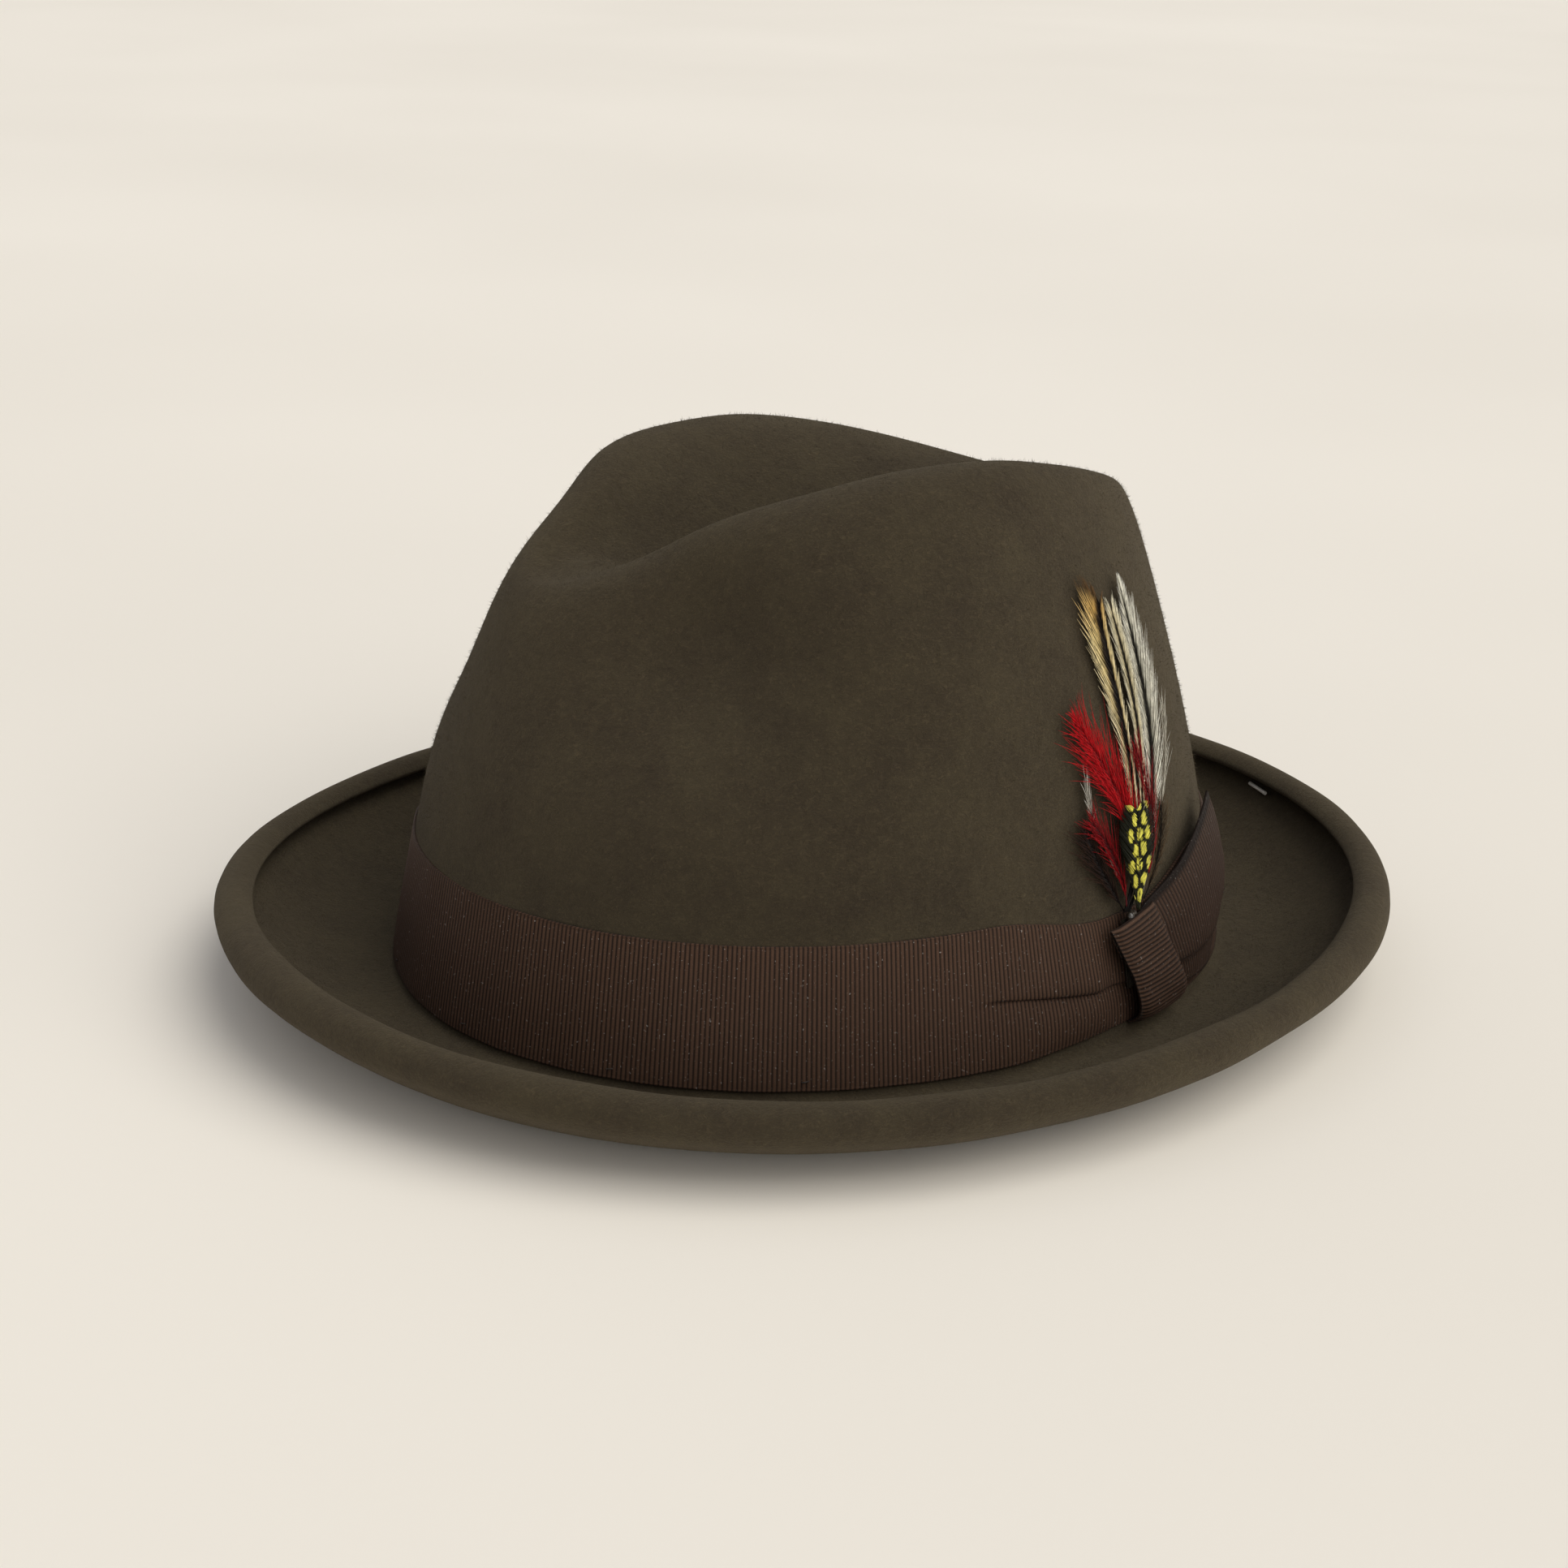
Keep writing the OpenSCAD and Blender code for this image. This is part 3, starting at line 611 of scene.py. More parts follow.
def knot():
    t = np.linspace(0, 1, 300)
    z = mix(KNOT_LOW, KNOT_HIGH, t)
    rising = KNOT_OUT * np.sqrt(np.maximum(0, 1 - (1 - np.minimum(t, 0.3) / 0.3) ** 2))
    out = KNOT_FOOT + np.where(t < 0.3, rising, KNOT_OUT - 0.6 * (t - 0.3) / 0.7)
    a = np.linspace(0, 180, 20)[1:]
    z = np.concatenate([z, KNOT_HIGH + 0.45 * sind(a), np.linspace(KNOT_HIGH, 25, 30)])
    out = np.concatenate([out, out[299] - 0.45 + 0.45 * cosd(a), np.full(30, out[299] - 0.9)])
    run = np.concatenate([[0], np.cumsum(np.hypot(np.diff(z), np.diff(out)))])
    count = int(run[-1] / 1.08)
    step = np.linspace(0, run[-1], count * 4 + 1)
    z, out = np.interp(step, run, z), np.interp(step, run, out)
    normal_out, normal_z = np.gradient(z), -np.gradient(out)
    size = np.hypot(normal_out, normal_z)
    normal_out, normal_z = normal_out / size, normal_z / size
    c = np.linspace(-1, 1, 25)[None, :]
    rise = np.append(ribs(count), 0.0)[:, None] * 2.2 * (1 - smooth((np.abs(c) - 0.9) / 0.1))
    drop = 0.7 * np.abs(c) ** 8 + 0.1 * c**2
    share = smooth((out[:, None] - KNOT_FOOT) / 2.5)
    wave = 0.22 * np.sin(step[:, None] * 0.55 + 1.5 * c) * (1 - c**2)

    def face(lift):
        o = out[:, None] + lift * normal_out[:, None] - drop * share + wave * share
        zz = z[:, None] + lift * normal_z[:, None]
        zz = zz + 1.28 * c * (zz - KNOT_LOW) / (KNOT_HIGH - KNOT_LOW)
        half = 4.75 + 0.75 * (1 - smooth((zz - KNOT_LOW) / 14)) * (1 + 0.3 * c)
        f = BOW_AT + half * c - 0.26 * (zz - 19) - 0.085 * np.maximum(0, 19 - zz)
        return crown_at(f, zz, -o)

    points, faces = shell(face(rise), face(-0.4), False)
    rows = len(z)
    uv = strip_uv(rows, 25, run[-1] / rows, 0.8, True)
    uv = np.concatenate([uv[::-1], uv])
    # painted rib shade on the knot's outer face, with narrower highlights on the crests; its inner face
    # gets the darkest painted shade
    painted_rib_shade = np.append(np.tile(RIB_PROFILE**2.2, count), 0.0)[:, None] + np.zeros(25)
    painted_rib_shade = np.concatenate([painted_rib_shade[::-1], painted_rib_shade * 0])
    ob = add_piece("ribbon_knot", points, faces, "root", "ribbon", RIBBON, ["bow_knot"], uv, painted_rib_shade)


knot()


def tail():
    start, end = BOW_AT + 3.2, 48.5
    count = 36
    s = np.linspace(0, 1, count * 4 + 1)[None, :]
    t = np.linspace(0, 1, 27)[:, None]
    t = np.sort(np.concatenate([t, [[0.012], [0.988]]]), 0)
    low = mix(10.2, 8.5, smooth(s * 3)) + 5.5 * smooth((s - 0.6) / 0.4)
    high = mix(31.8, 47.8, s)
    z = mix(low, high, t) - 0.9 * np.sin(np.pi * s) * t**2
    f = mix(start, end, s) + 4 * s * s * np.sin(np.pi * t) - (1 - s) * 0.26 * (z - 19)
    # it stands off more towards its end, and its lower part is tucked back against the band
    out = mix(2.9, 4.5, smooth(s * 2)) + 0.7 * np.sin(np.pi * t)
    out = out + 0.35 * (1 - s) * np.sin(np.pi * 3.2 * t + 0.4) * smooth(s * 6) + 0.3 * s**3 * t**3
    out = out - 1.7 * (1 - smooth((t - 0.22 + 0.08 * s) / 0.07)) * smooth(s * 4)
    out = out + 0.3 * smooth((0.2 - np.abs(t - 0.4)) / 0.2)
    edge_row = (t < 0.03) | (t > 0.97)
    rise = np.append(ribs(count), 0.0)[None, :] * np.where(edge_row, 0.0, 1.0)
    # painted rib shade on the tail, its highlights toned down to 0.72; the rows along the top edge take the
    # darkest value, a dark line there
    painted_rib_shade = np.append(np.tile(RIB_PROFILE, count), 0.0)[None, :] * np.where(t > 0.95, 0.0, 0.72)
    bead = np.where((t < 0.01) | (t > 0.99), 0.1, 0.0)
    front = crown_at(f, z, -(out + rise + bead))
    back = crown_at(f, z, -(out - 0.42))
    points, faces = shell(front, back, False)
    uv = strip_uv(len(t), count * 4 + 1, 1.25, 0.25)
    uv = np.concatenate([uv[::-1], uv])
    painted_rib_shade = np.concatenate([painted_rib_shade[::-1], painted_rib_shade])
    ob = add_piece("ribbon_tail", points, faces, "root", "ribbon", RIBBON, ["bow_tail"], uv, painted_rib_shade)
    ends = []
    loose = ((0.22, 4.2, 1.4), (0.26, 2.6, -1.2), (0.33, 1.8, 0.8), (0.5, 1.2, 0.6), (0.98, 1.8, -1.0))
    for at, length, bend in loose:
        k = int(round(at * (len(t) - 1)))
        tip = crown_at(f[k, -1], z[k, -1], -out[k, -1])
        away = unit(crown_at(f[k, -1] + 1, z[k, -1], -out[k, -1]) - tip)
        q = np.linspace(0, 1, 9)[:, None]
        sag = 0.2 * bend * q - 0.35 * length * q * q
        path = tip + away * (length * q - 0.8) + sag * np.array([0, 0, 1])
        ends.append(tube(path, np.linspace(0.16, 0.09, 9), 6))
    return ends


thread_ends = tail()


def tacks():
    parts = list(thread_ends)
    for k in range(12):
        f = 60 + k * 25
        path = []
        for q in np.linspace(-1, 1, 7):
            path.append(crown_at(f + 0.45 * q, FOOT_Z + 2.2 + 0.15 * q, -(0.86 + 0.16 * (1 - q * q))))
        parts.append(tube(path, 0.16, 6))
    add_piece("band_threads", *join(parts), "root", "band_thread", THREAD, ["band_tacks"])


tacks()


def flat_ribbon(
    name, f_low, f_high, z_low, z_high, outset, thick, node, material, slot, ribbed
):
    """A plain length of ribbon or tape against the crown, outside it or, with a negative outset, inside."""
    count = max(8, int(round((f_high - f_low) * 1.75 / RIB)))
    f = np.linspace(f_low, f_high, count * 4 + 1)[None, :]
    z = np.linspace(z_low, z_high, 13)[:, None]
    rise = np.append(ribs(count), 0.0)[None, :] * ribbed * np.sign(outset(z[:1]).item())
    o = outset(z) + 0.12 * np.sin(f * 0.7) * np.sin(z * 0.4)
    points, faces = shell(crown_at(f, z, -(o + rise)), crown_at(f, z, -(o - thick * np.sign(o))), False)
    if outset(z[:1]).item() < 0:
        faces = [q[::-1] for q in faces]
    uv = strip_uv(13, count * 4 + 1, (z_high - z_low) / 12, 0.26)
    # even value for the ribbon material's painted rib shade, with no rib light and shade
    painted_rib_shade = np.full(points.shape[:2], 0.6)
    ob = add_piece(name, points, faces, "root", slot, material, [node], np.concatenate([uv[::-1], uv]),
        painted_rib_shade)


flat_ribbon(
    "ribbon_end", BOW_AT + 8, 46, 12, 25, lambda z: 1.95 + 0 * z, 0.22,
    "bow_lining", RIBBON, "ribbon", 0.8,
)

# ---------------- inside
BAND_LOW, BAND_TOP = 1.0, 36.0
STITCHES = 150


def leather_inset(z):
    return FELT_T + 0.35 + 0.75 * smooth(z / 20)


def inside_of_hat():
    f = np.arange(240) * 1.5
    z = np.concatenate([[BAND_LOW], np.linspace(BAND_LOW + 0.35, BAND_TOP - 0.3, 22), [BAND_TOP]])[:, None]
    soft = 0.10 * np.sin(np.radians(f) * 14 + 0.6)[None, :] * np.sin(z / 11)
    thin = np.where((z <= BAND_LOW + 0.01) | (z >= BAND_TOP - 0.01), 0.3, 0.0)
    inner = crown_at(f[None, :], z, leather_inset(z) + 1.2 - thin + soft)
    outer = crown_at(f[None, :], z, leather_inset(z) + thin)
    points, faces = shell(outer, inner, True)
    add_piece("sweatband_strip", points, faces, "root", "sweatband_leather", LEATHER, ["sweatband"])

    ring = crown_at(np.arange(0, 360, 1.5), 1.35, 2.5)
    add_piece("reed_tube", *tube(ring, 0.62, 10, True), "root", "reed", REED, ["sweatband_reed"])

    parts = []
    for k in range(STITCHES):
        at = (k + 0.5) * 360 / STITCHES
        path = []
        for q in np.linspace(-1, 1, 7):
            zz = 3.4 + 0.12 * q
            path.append(crown_at(at + 0.68 * q, zz, leather_inset(zz) + 1.16 + 0.24 * (1 - q**4)))
        parts.append(tube(path, 0.2 * np.array([0.5, 0.9, 1, 1, 1, 0.9, 0.5]), 6))
    add_piece("sweatband_stitches", *join(parts), "root", "sweatband_thread", STITCH,
        ["sweatband_stitching"])

    z = np.linspace(27, 80, 40)[:, None]
    f = np.arange(720) * 0.5
    steps = np.maximum(0, (z - 27) / 53 * 4 - 1)
    folds = np.sin(np.radians(f) * 72) + 0.6 * np.sin(np.radians(f) * 47 + 1)
    gathers = 0.16 * smooth((z - 30) / 50) * folds[None, :]
    base = FELT_T + 0.35 + 0.6 * steps
    outer = crown_at(f[None, :], z, base - 0.05)
    inner = crown_at(f[None, :], z, base + 0.35 + gathers)
    points, faces = shell(outer, inner, True)
    uv = np.stack(np.meshgrid(np.concatenate([z[::-1, 0], z[:, 0]]), f * 1.55, indexing="ij"), -1)[...,
        ::-1]
    ob = add_piece("lining_wall", points, faces, "root", "lining_satin", SATIN, ["lining_side"], uv)

    f = np.arange(180) * 2.0
    edge_line = crown_at(f, 79.0, FELT_T + 0.35 + 1.8 + 0.7)
    middle = np.array([0, MID_Y, 79.0])
    rows = np.linspace(0.02, 1, 26)
    top, under = [], []
    for r in rows:
        p = mix(middle, edge_line, r)
        sag = 3.5 * (1 - r * r) + 0.25 * math.sin(r * 9) * (1 - r)
        top.append(p + np.array([0, 0, sag]))
        under.append(p + np.array([0, 0, sag - 0.4]))
    points = np.concatenate([np.array(top), np.array(under)[::-1]])
    faces = loop_faces(len(points), 180, False, True).tolist()
    faces.append(list(range(180)))
    faces.append([(len(points) - 1) * 180 + k for k in range(180)][::-1])
    uv = points[..., :2]
    ob = add_piece("lining_crown", points, faces, "root", "lining_satin", SATIN, ["lining_tip"], uv)
    cord = crown_at(np.arange(0, 360, 1.5), 79.0, FELT_T + 0.35 + 1.8 + 1.0)
    ridges = 0.75 + 0.09 * np.sin(np.arange(240) * 1.9)
    add_piece("lining_piping", *tube(cord, ridges, 10, True), "root", "lining_satin", SATIN)


inside_of_hat()
flat_ribbon(
    "seam_tape", 85, 95, BAND_LOW + 0.6, BAND_TOP, lambda z: -(leather_inset(z) + 1.2 + 0.5), 0.3,
    "sweatband_seam_tape", TAPE, "seam_tape", 0.25,
)
flat_ribbon(
    "size_tab_paper", 175, 185, 34, 48, lambda z: -(leather_inset(40.0) - 0.1 + 0.03 * (z - 34)), 0.18,
    "size_tab", PAPER, "paper_tab", 0.0,
)


def small_bow():
    """A little ribbon bow on the seam of the sweatband; each half is a flattened loop."""
    back = crown_at(90.0, 11.0, leather_inset(11.0) + 2.6)[1]
    parts = []
    for side in (-1, 1):
        a = np.linspace(0.12, 2 * math.pi - 0.12, 41)
        x = side * (0.6 + 4.1 * (1 - np.cos(a)))
        y = back - 0.2 - 0.75 * np.sin(a) * np.sin(a / 2)
        half = 1.1 + 1.9 * np.sin(a / 2) ** 0.8
        w = np.linspace(-1, 1, 9)[:, None]
        front = np.stack([x + 0 * w, y + 0.12 * w**2, 11 + w * half], -1)
        middle_y = back - 0.2
        inner = front.copy()
        inner[..., 0] = side * 4.7 + (front[..., 0] - side * 4.7) * 0.94
        inner[..., 1] = middle_y + (front[..., 1] - middle_y) * 0.55
        points, faces = shell(front, inner, False)
        parts.append((points.reshape(-1, 3), faces))
    a = np.linspace(0, 2 * math.pi, 29)[:-1]
    w = np.linspace(-1.3, 1.3, 7)[:, None]
    ring = np.stack([w + 0 * a, back - 0.2 + 1.05 * np.cos(a) + 0 * w, 11 + 2.0 * np.sin(a) + 0 * w], -1)
    core = ring.copy()
    core[..., 1] = back - 0.2 + (ring[..., 1] - back + 0.2) * 0.7
    core[..., 2] = 11 + (ring[..., 2] - 11) * 0.82
    points, faces = shell(ring, core, True)
    parts.append((points.reshape(-1, 3), faces))
    points, faces = join(parts)
    # even value for the ribbon material's painted rib shade, with no rib light and shade
    tone = np.full(len(points), 0.6)
    add_piece("sweatband_small_bow", points, faces, "root", "ribbon", RIBBON, ["sweatband_bow"], None, tone)


small_bow()

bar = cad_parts["tag_fastener"]
for s in bar.material_slots:
    s.material = NYLON

# ---------------- feathers
SEEN_FROM = -28.0


def placed(points, outs):
    """Feather points were laid out as they show against the crown; this puts them at their stand-off."""
    f, z = points[..., 0], points[..., 1]
    f = f - 0.66 * np.tan(np.radians(f - SEEN_FROM)) * outs
    return np.stack([f, z + 0.72 * outs], -1)


def curve_through(stops, n):
    """A smooth line through a few stops, each (direction, height)."""
    stops = np.asarray(stops, float)
    t = np.linspace(0, 1, len(stops))
    q = np.linspace(0, 1, n)
    fit = [np.polynomial.Polynomial.fit(t, stops[:, k], min(3, len(stops) - 1)) for k in range(2)]
    return np.stack([p(q) for p in fit], -1)


def barbs(
    line, outs, count, left, right, reach, angle, width, seed, wild=0.12, first=0.1, last=0.98, steps=6
):
    """Barbs on both sides of a quill.

    left and right give their half-widths in mm along it. reach is how far a barb goes on along the
    quill for each mm sideways.
    """
    r = np.random.default_rng(seed)
    n = len(line)
    mm = np.stack([line[:, 0] / 0.66, line[:, 1]], -1)
    ahead = unit(np.gradient(mm, axis=0))
    side = np.stack([ahead[:, 1], -ahead[:, 0]], -1)
    whole = np.linalg.norm(np.diff(mm, axis=0), axis=1).sum()
    points, tones, faces = [], [], []
    start = 0
    for sign, half in ((-1, left), (1, right)):
        for k in range(count):
            t = first + (last - first) * (k + r.uniform(-0.4, 0.4)) / count
            t = min(max(t, 0.0), 0.995)
            i = t * (n - 1)
            i0 = min(int(i), n - 2)
            w = i - i0
            root = mix(mm[i0], mm[i0 + 1], w)
            a, s = mix(ahead[i0], ahead[i0 + 1], w), mix(side[i0], side[i0 + 1], w)
            wide = half(t) * r.uniform(1 - 2 * wild, 1 + wild)
            long = min(wide * reach * r.uniform(1 - wild, 1 + wild) + 1.2, (1 - t) * whole + 0.6 + 6 * wild)
            q = np.linspace(0, 1, steps + 1)
            twist = r.normal(0, wild)
            sideways = sign * wide * (q**angle) + twist * wide * q**2
            onward = long * q
            base_out = mix(outs[i0], outs[i0 + 1], w)
            lift = base_out + r.uniform(-0.3, 0.3) + 0.25 * np.sin(np.pi * q) + r.normal(0, 0.25) * q**2
            p = root + sideways[:, None] * s + onward[:, None] * a
            lift = np.maximum(lift, 0.35)
            at = placed(np.stack([p[:, 0] * 0.66, p[:, 1]], -1), lift)
            centre = crown_at(at[:, 0], at[:, 1], -lift)
            over = crown_at(at[:, 0], at[:, 1], -(lift + 1.0)) - centre
            run = unit(np.gradient(centre, axis=0))
            across = unit(np.cross(run, over))
            thick = unit(np.cross(across, run))
            half_w = (width / 2) * (1 - q**2.5 * 0.85)[:, None]
            edge = across * half_w
            ring = np.stack([centre - edge, centre + edge, centre + thick * half_w * 0.55], 1)
            points.append(ring.reshape(-1, 3))
            tones.append(np.stack([np.repeat(q, 3), t + np.repeat(q, 3) * long / whole], -1))
            m = steps + 1
            faces += (loop_faces(m, 3, False, True) + start).tolist()
            end = start + 3 * m
            faces += [[start, start + 1, start + 2], [end - 1, end - 2, end - 3]]
            start = end
    return points, tones, faces, start


def plume(name, node, slot, paint, stops, out, tip_out, count, left, right, reach, angle, width, seed,
    **more):
    quill = more.pop("quill", 0.32)
    n = 40
    line = curve_through(stops, n)
    q = np.linspace(0, 1, n)
    outs = mix(out, tip_out, q) - 0.9 * np.sin(np.pi * q) * (out > 2)
    points, tones, faces, start = barbs(line, outs, count, left, right, reach, angle, width, seed, **more)
    at = placed(line, outs)
    path = crown_at(at[:, 0], at[:, 1], -(outs + 0.12))
    p, f = tube(path, np.linspace(quill, 0.06, n), 6)
    faces += [[i + start for i in face] for face in f]
    points.append(p)
    tones.append(np.stack([np.zeros(len(p)), np.repeat(q, 6)], -1))
    replaced = [node] if node else []
    tone = np.concatenate(tones)
    return add_piece(
        name, np.concatenate(points), faces, "feather_trim", slot, paint, replaced, None, tone
    )


def vane(full, at=0.5, low=0.15, point=0.5):
    """A vane's half-width along the quill, which is fullest at a share of its length."""

    def width(t):
        if t < at:
            return full * mix(low, 1.0, smooth(t / at).item())
        return full * max(0.05, 1 - ((t - at) / (1.02 - at)) ** 2) ** point

    return width


BLACK = (0.008, 0.006, 0.005)
PALE_TO_GOLD = [(0.0, (0.95, 0.97, 1.0)), (0.5, (1.0, 1.0, 1.0)), (0.8, (1.0, 0.93, 0.74)),
    (0.93, (0.95, 0.72, 0.4)), (0.985, (0.15, 0.09, 0.05))]
GOLD = barb_paint(
    "hackle_gold", [(0.0, BLACK), (0.2, (0.03, 0.02, 0.012)), (0.34, (0.5, 0.4, 0.2)),
    (0.6, (0.85, 0.74, 0.46)), (1.0, (0.95, 0.86, 0.6))],
    tint=PALE_TO_GOLD,
)
CREAM = barb_paint("hackle_cream", [(0.0, BLACK), (0.12, (0.05, 0.04, 0.02)),
    (0.25, (0.55, 0.47, 0.28)), (0.7, (0.86, 0.79, 0.56)), (1.0, (0.92, 0.86, 0.66))])
SILVER = barb_paint("hackle_silver", [(0.0, BLACK), (0.12, (0.04, 0.037, 0.025)),
    (0.25, (0.45, 0.43, 0.34)), (0.6, (0.82, 0.79, 0.66)), (1.0, (0.95, 0.93, 0.82))])
WISP = barb_paint("barb_wisps", [(0.0, (0.45, 0.42, 0.34)), (0.5, (0.7, 0.67, 0.56)),
    (1.0, (0.9, 0.87, 0.77))], streak=0.1)
RED = barb_paint("hackle_red", [(0.0, (0.3, 0.002, 0.005)), (0.3, (0.5, 0.003, 0.007)),
    (0.6, (0.56, 0.004, 0.009)), (1.0, (0.42, 0.004, 0.008))], streak=0.15)
MAROON = barb_paint("hackle_red_dark", [(0.0, (0.07, 0.002, 0.003)), (0.4, (0.24, 0.003, 0.006)),
    (1.0, (0.36, 0.006, 0.009))], streak=0.3)
BROWN = barb_paint("brown_feather", [(0.0, (0.008, 0.004, 0.003)), (0.5, (0.024, 0.010, 0.006)),
    (1.0, (0.06, 0.026, 0.013))], roughness=0.8)
OLIVE = barb_paint("brown_feather_right", [(0.0, (0.010, 0.007, 0.004)), (0.5, (0.045, 0.026, 0.011)),
    (1.0, (0.12, 0.07, 0.03))], roughness=0.8)
GREY = barb_paint("grey_feather", [(0.0, (0.35, 0.33, 0.28)), (0.5, (0.58, 0.55, 0.47)),
    (1.0, (0.76, 0.73, 0.65))], streak=0.1)
SPOTS = barb_paint("dotted_feather", [(0.0, (0.010, 0.011, 0.004)), (0.42, (0.028, 0.028, 0.009)),
    (0.55, (0.5, 0.46, 0.04)), (1.0, (0.82, 0.76, 0.12))], streak=0.08)

plume("feather_long_silver", "feather_silver", "hackle_silver", SILVER,
      [(24.5, 31), (33.5, 52), (38.3, 74), (38.3, 88), (40.4, 102.5)], 3.4, 3.0, 230, vane(4.8, 0.4,
      0.2, 1.5), vane(7.4, 0.4, 0.1, 1.6),
      1.9, 0.85, 0.36, 21, wild=0.16, last=0.95)
plume("feather_long_gold", "feather_gold", "hackle_gold", GOLD,
      [(23.5, 31), (28.6, 50), (29.6, 70), (29.6, 86), (31.4, 98.2)], 3.6, 3.0, 230, vane(6.4, 0.72,
      0.1, 0.6), vane(2.6, 0.7),
      1.8, 0.85, 0.36, 22, wild=0.14)
plume("feather_long_cream", "feather_cream", "hackle_cream", CREAM,
      [(24, 31), (30.6, 52), (34.0, 72), (34.0, 85), (34.4, 94.5)], 3.9, 3.6, 170, vane(2.9,
      0.6), vane(3.4, 0.6), 2.2, 0.85, 0.34, 23, wild=0.14)
plume("feather_side_wisps", "feather_wisps", "barb_wisps", WISP,
      [(28, 34), (35, 48), (40.5, 59), (46.0, 73)], 3.0, 3.0, 20, vane(2.6, 0.5), vane(3.0,
      0.6), 2.6, 0.8, 0.2, 24, wild=0.4, first=0.3)
plume("feather_red_flame", "feather_red_upper", "hackle_red", RED,
      [(27.5, 43), (26.6, 53), (22.6, 65), (18.2, 77)], 4.7, 3.6, 240, vane(5.0, 0.36, 0.5,
      1.1), vane(5.4, 0.36, 0.6, 1.1),
      2.0, 0.8, 0.21, 25, wild=0.42, first=0.02, quill=0.15)
plume("feather_red_base", "feather_red_lower", "hackle_red", MAROON,
      [(24, 32), (23.4, 40), (21.0, 48), (18.5, 53)], 4.3, 3.4, 90, vane(3.0, 0.5), vane(3.2,
      0.5), 1.8, 0.8, 0.22, 26, wild=0.36, quill=0.2)
plume("feather_red_strands", None, "hackle_red", MAROON,
      [(30.5, 37), (33.2, 46), (33.0, 56), (31.8, 66)], 4.8, 3.8, 70, vane(2.4, 0.5), vane(3.4,
      0.4), 2.8, 0.8, 0.24, 27, wild=0.38, first=0.0, quill=0.15)
plume("feather_brown_front", "feather_brown_left", "brown_feather", BROWN,
      [(23.4, 31), (20.6, 39), (18.4, 46), (17.2, 52)], 3.0, 2.6, 90, vane(3.6, 0.5), vane(4.2,
      0.5), 1.6, 0.8, 0.22, 28, wild=0.36, quill=0.2)
plume("feather_brown_back", "feather_brown_right", "brown_feather", OLIVE,
      [(28.5, 32), (32.5, 38), (35.2, 44), (37.0, 51)], 4.4, 3.8, 90, vane(3.2, 0.5), vane(3.8,
      0.5), 1.6, 0.8, 0.22, 29, wild=0.36, quill=0.2)
plume("feather_grey_hook", "feather_grey", "grey_feather", GREY,
      [(22.5, 40), (19.8, 50), (18.6, 57), (18.6, 63)], 2.8, 2.8, 24, vane(0.9, 0.7), vane(1.5,
      0.6), 3.2, 0.8, 0.18, 30, wild=0.35, first=0.3, quill=0.2)


def dotted():
    """A broad feather of close barbs; rows of pale spots are set in its vane."""
    n = 30
    line = curve_through([(27.0, 30), (27.9, 37), (29.0, 45), (29.6, 52.5)], n)
    q = np.linspace(0, 1, n)
    outs = mix(5.2, 4.8, q)
    half = vane(7.6, 0.48, 0.16, 0.7)
    points, tones, faces, start = barbs(
        line, outs, 170, half, half, 0.6, 0.9, 0.36, 31, wild=0.03, first=0.0, last=0.97, steps=14
    )
    spots = []
    for row in range(7):
        for c in (-1, 0, 1) if row % 2 == 0 else (-0.5, 0.5):
            spots.append((c * 3.1 + 0.2 * math.sin(5 * row + 3 * c),
                3.2 + row * 3.5 + 0.35 * math.sin(3 * row + 7 * c)))
    spots = np.array(spots)
    foot = crown_at(*placed(line[:1], outs[:1])[0], -5.0)
    top = crown_at(*placed(line[-1:], outs[-1:])[0], -4.6)
    up = unit(top - foot)
    cloud, along = np.concatenate(points), np.concatenate(tones)[:, 1]
    over = unit(crown_at(26.0, 42.0, -1.0) - crown_at(26.0, 42.0))
    across = unit(np.cross(up, over))
    local = np.stack([(cloud - foot) @ across, (cloud - foot) @ up], -1)
    away = (local[:, None] - spots[None]) / np.array([1.12, 1.75])
    gap = np.hypot(away[..., 0], away[..., 1]).min(1)
    tone = 1 - smooth((gap - 0.8) / 0.25)
    path_at = placed(line, outs)
    p, f = tube(crown_at(path_at[:, 0], path_at[:, 1], -(outs + 0.2)), np.linspace(0.3, 0.06, n), 6)
    faces += [[i + start for i in face] for face in f]
    add_piece("feather_spotted", np.concatenate([cloud, p]), faces, "feather_trim", "dotted_feather", SPOTS,
              ["feather_dotted"], None, np.stack([np.append(tone, np.full(len(p), 0.2)),
              np.append(along, np.repeat(q, 6))], -1))


dotted()


def stem_point(z, aside, over):
    """A point of the bundle of quills, which runs from (24 degrees, 17 mm) up to (22, 33)."""
    return crown_at(22 + (33 - z) / 8 + aside, z, -(3.6 + over))


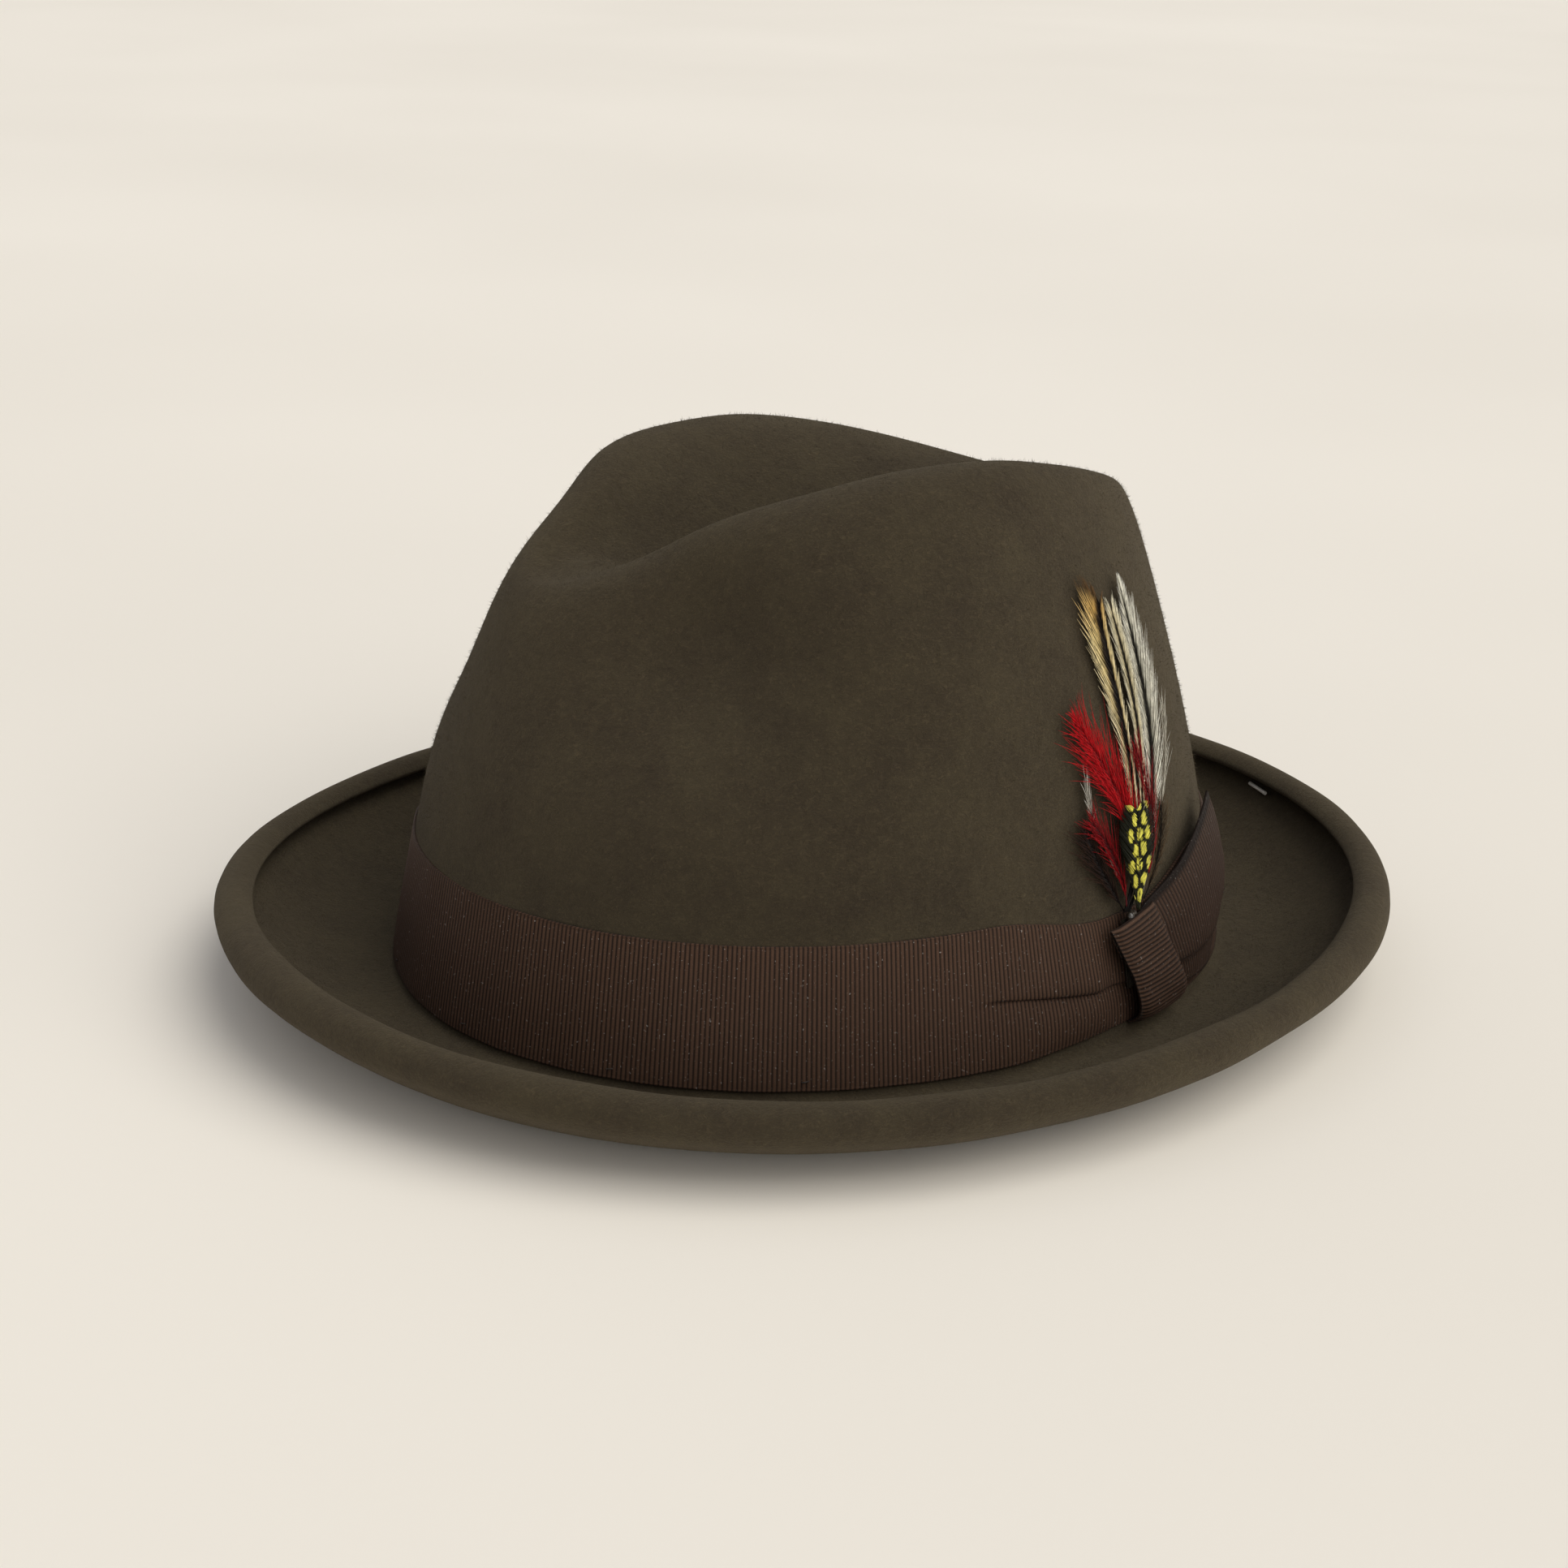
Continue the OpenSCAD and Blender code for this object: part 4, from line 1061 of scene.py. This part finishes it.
def stem():
    """Quills side by side, wound with thread and tipped with glue."""
    parts, wound = [], []
    for k in range(7):
        a = k * 2 * math.pi / 6
        r = 0.0 if k == 6 else 0.6
        path = [stem_point(z, 0.66 * r * math.cos(a), r * math.sin(a)) for z in np.linspace(17.2, 33, 14)]
        parts.append(tube(path, 0.34, 8))
    add_piece("quill_stems", *join(parts), "feather_trim", "quill_glue", QUILL)
    turns = np.linspace(0, 9 * 2 * math.pi, 9 * 20)
    height = np.linspace(29.0, 32.0, len(turns))
    path = stem_point(height, 0.66 * 0.92 * np.cos(turns), 0.92 * np.sin(turns))
    wound.append(tube(path, 0.17, 6))
    blob_z = np.linspace(30.6, 33.4, 12)
    share = np.linspace(-1, 1, 12)
    blob = stem_point(blob_z, -0.9, 0.6)
    wound.append(tube(blob, 0.05 + 1.0 * np.sqrt(np.maximum(0, 1 - share**2)) * (1 - 0.2 * share), 12))
    add_piece("quill_winding", *join(wound), "feather_trim", "quill_glue", GLUE, ["quill_binding"])
    f = np.linspace(21, 26, 15)[None, :]
    z = np.linspace(15, 31, 30)[:, None]
    rough = 0.05 * np.sin(z * 3.1 + f * 5.0)
    points, faces = shell(crown_at(f, z, -(2.22 + rough)), crown_at(f, z, -1.93), False)
    add_piece("feather_pad", points, faces, "feather_trim", "backing_felt", PAD, ["feather_backing"])


stem()

# ---------------- floor, light and camera
def stage_floor():
    p = Paint("floor_paper")
    p.surface(Roughness=0.85, Specular_IOR_Level=0.2)
    cloud = p.noise(2.2, 2, 0.5)
    p.colour(p.ramp(cloud, [(0.3, (0.86, 0.815, 0.735)), (0.7, (0.9, 0.855, 0.775))]))
    p.bump(p.noise(300, 3, 0.5), 0.0001, 0.3)
    me = bpy.data.meshes.new("floor")
    size = 6.0
    me.from_pydata([(-size, -size, 0), (size, -size, 0), (size, size, 0), (-size, size, 0)], [],
        [(0, 1, 2, 3)])
    me.materials.append(p.material)
    ob = bpy.data.objects.new("floor", me)
    bpy.context.scene.collection.objects.link(ob)


stage_floor()


def sun(name, toward, spread, power, colour):
    light = bpy.data.lights.new(name, "SUN")
    light.angle = math.radians(spread)
    light.energy = power
    light.color = colour
    ob = bpy.data.objects.new(name, light)
    ob.rotation_euler = Vector(toward).to_track_quat("Z", "Y").to_euler()
    bpy.context.scene.collection.objects.link(ob)


sun("key", (0.64, 0.56, 1.3), 60, 1.55, (1.0, 0.965, 0.89))
sun("fill", (1.0, 0.0, 0.5), 60, 1.1, (1.0, 0.965, 0.91))


def studio():
    """An even pale sky, brightest along the horizon, as in a light tent."""
    world = bpy.data.worlds.new("studio")
    bpy.context.scene.world = world
    world.use_nodes = True
    nodes, links = world.node_tree.nodes, world.node_tree.links
    place = nodes.new("ShaderNodeTexCoord")
    split = nodes.new("ShaderNodeSeparateXYZ")
    ramp = nodes.new("ShaderNodeValToRGB")
    stops = ((0.08, (0.80, 0.77, 0.73)), (0.34, (0.365, 0.37, 0.395)))
    for item, (at, colour) in zip(ramp.color_ramp.elements, stops):
        item.position = at
        item.color = (*colour, 1)
    links.new(place.outputs["Generated"], split.inputs["Vector"])
    links.new(split.outputs["Z"], ramp.inputs["Fac"])
    links.new(ramp.outputs["Color"], nodes["Background"].inputs["Color"])


studio()

AZIMUTH, ELEVATION, ROLL, DISTANCE = 62.0, 21.09, 1.65, 650.0
AIM_ASIDE, AIM_HEIGHT = -8.0, 41.3
FOCAL_PX, FRAME_PX = 3307.54, 1932.0


def camera():
    az, el, roll = (math.radians(v) for v in (AZIMUTH, ELEVATION, ROLL))
    back = np.array([math.sin(az) * math.cos(el), -math.cos(az) * math.cos(el), math.sin(el)])
    right = np.array([math.cos(az), math.sin(az), 0.0])
    up = np.cross(back, right)
    place = right * AIM_ASIDE + np.array([0, 0, AIM_HEIGHT]) + back * DISTANCE
    right, up = right * math.cos(roll) + up * math.sin(roll), up * math.cos(roll) - right * math.sin(roll)
    data = bpy.data.cameras.new("camera")
    data.sensor_width = 36
    data.lens = 36 * FOCAL_PX / FRAME_PX
    ob = bpy.data.objects.new("camera", data)
    bpy.context.scene.collection.objects.link(ob)
    turn_to = Matrix((right.tolist(), up.tolist(), back.tolist())).transposed().to_4x4()
    turn_to.translation = Vector((place / 1000).tolist())
    ob.matrix_world = turn_to
    bpy.context.scene.camera = ob


camera()
bpy.context.scene.view_settings.view_transform = "Standard"
bpy.context.scene.view_settings.look = "None"
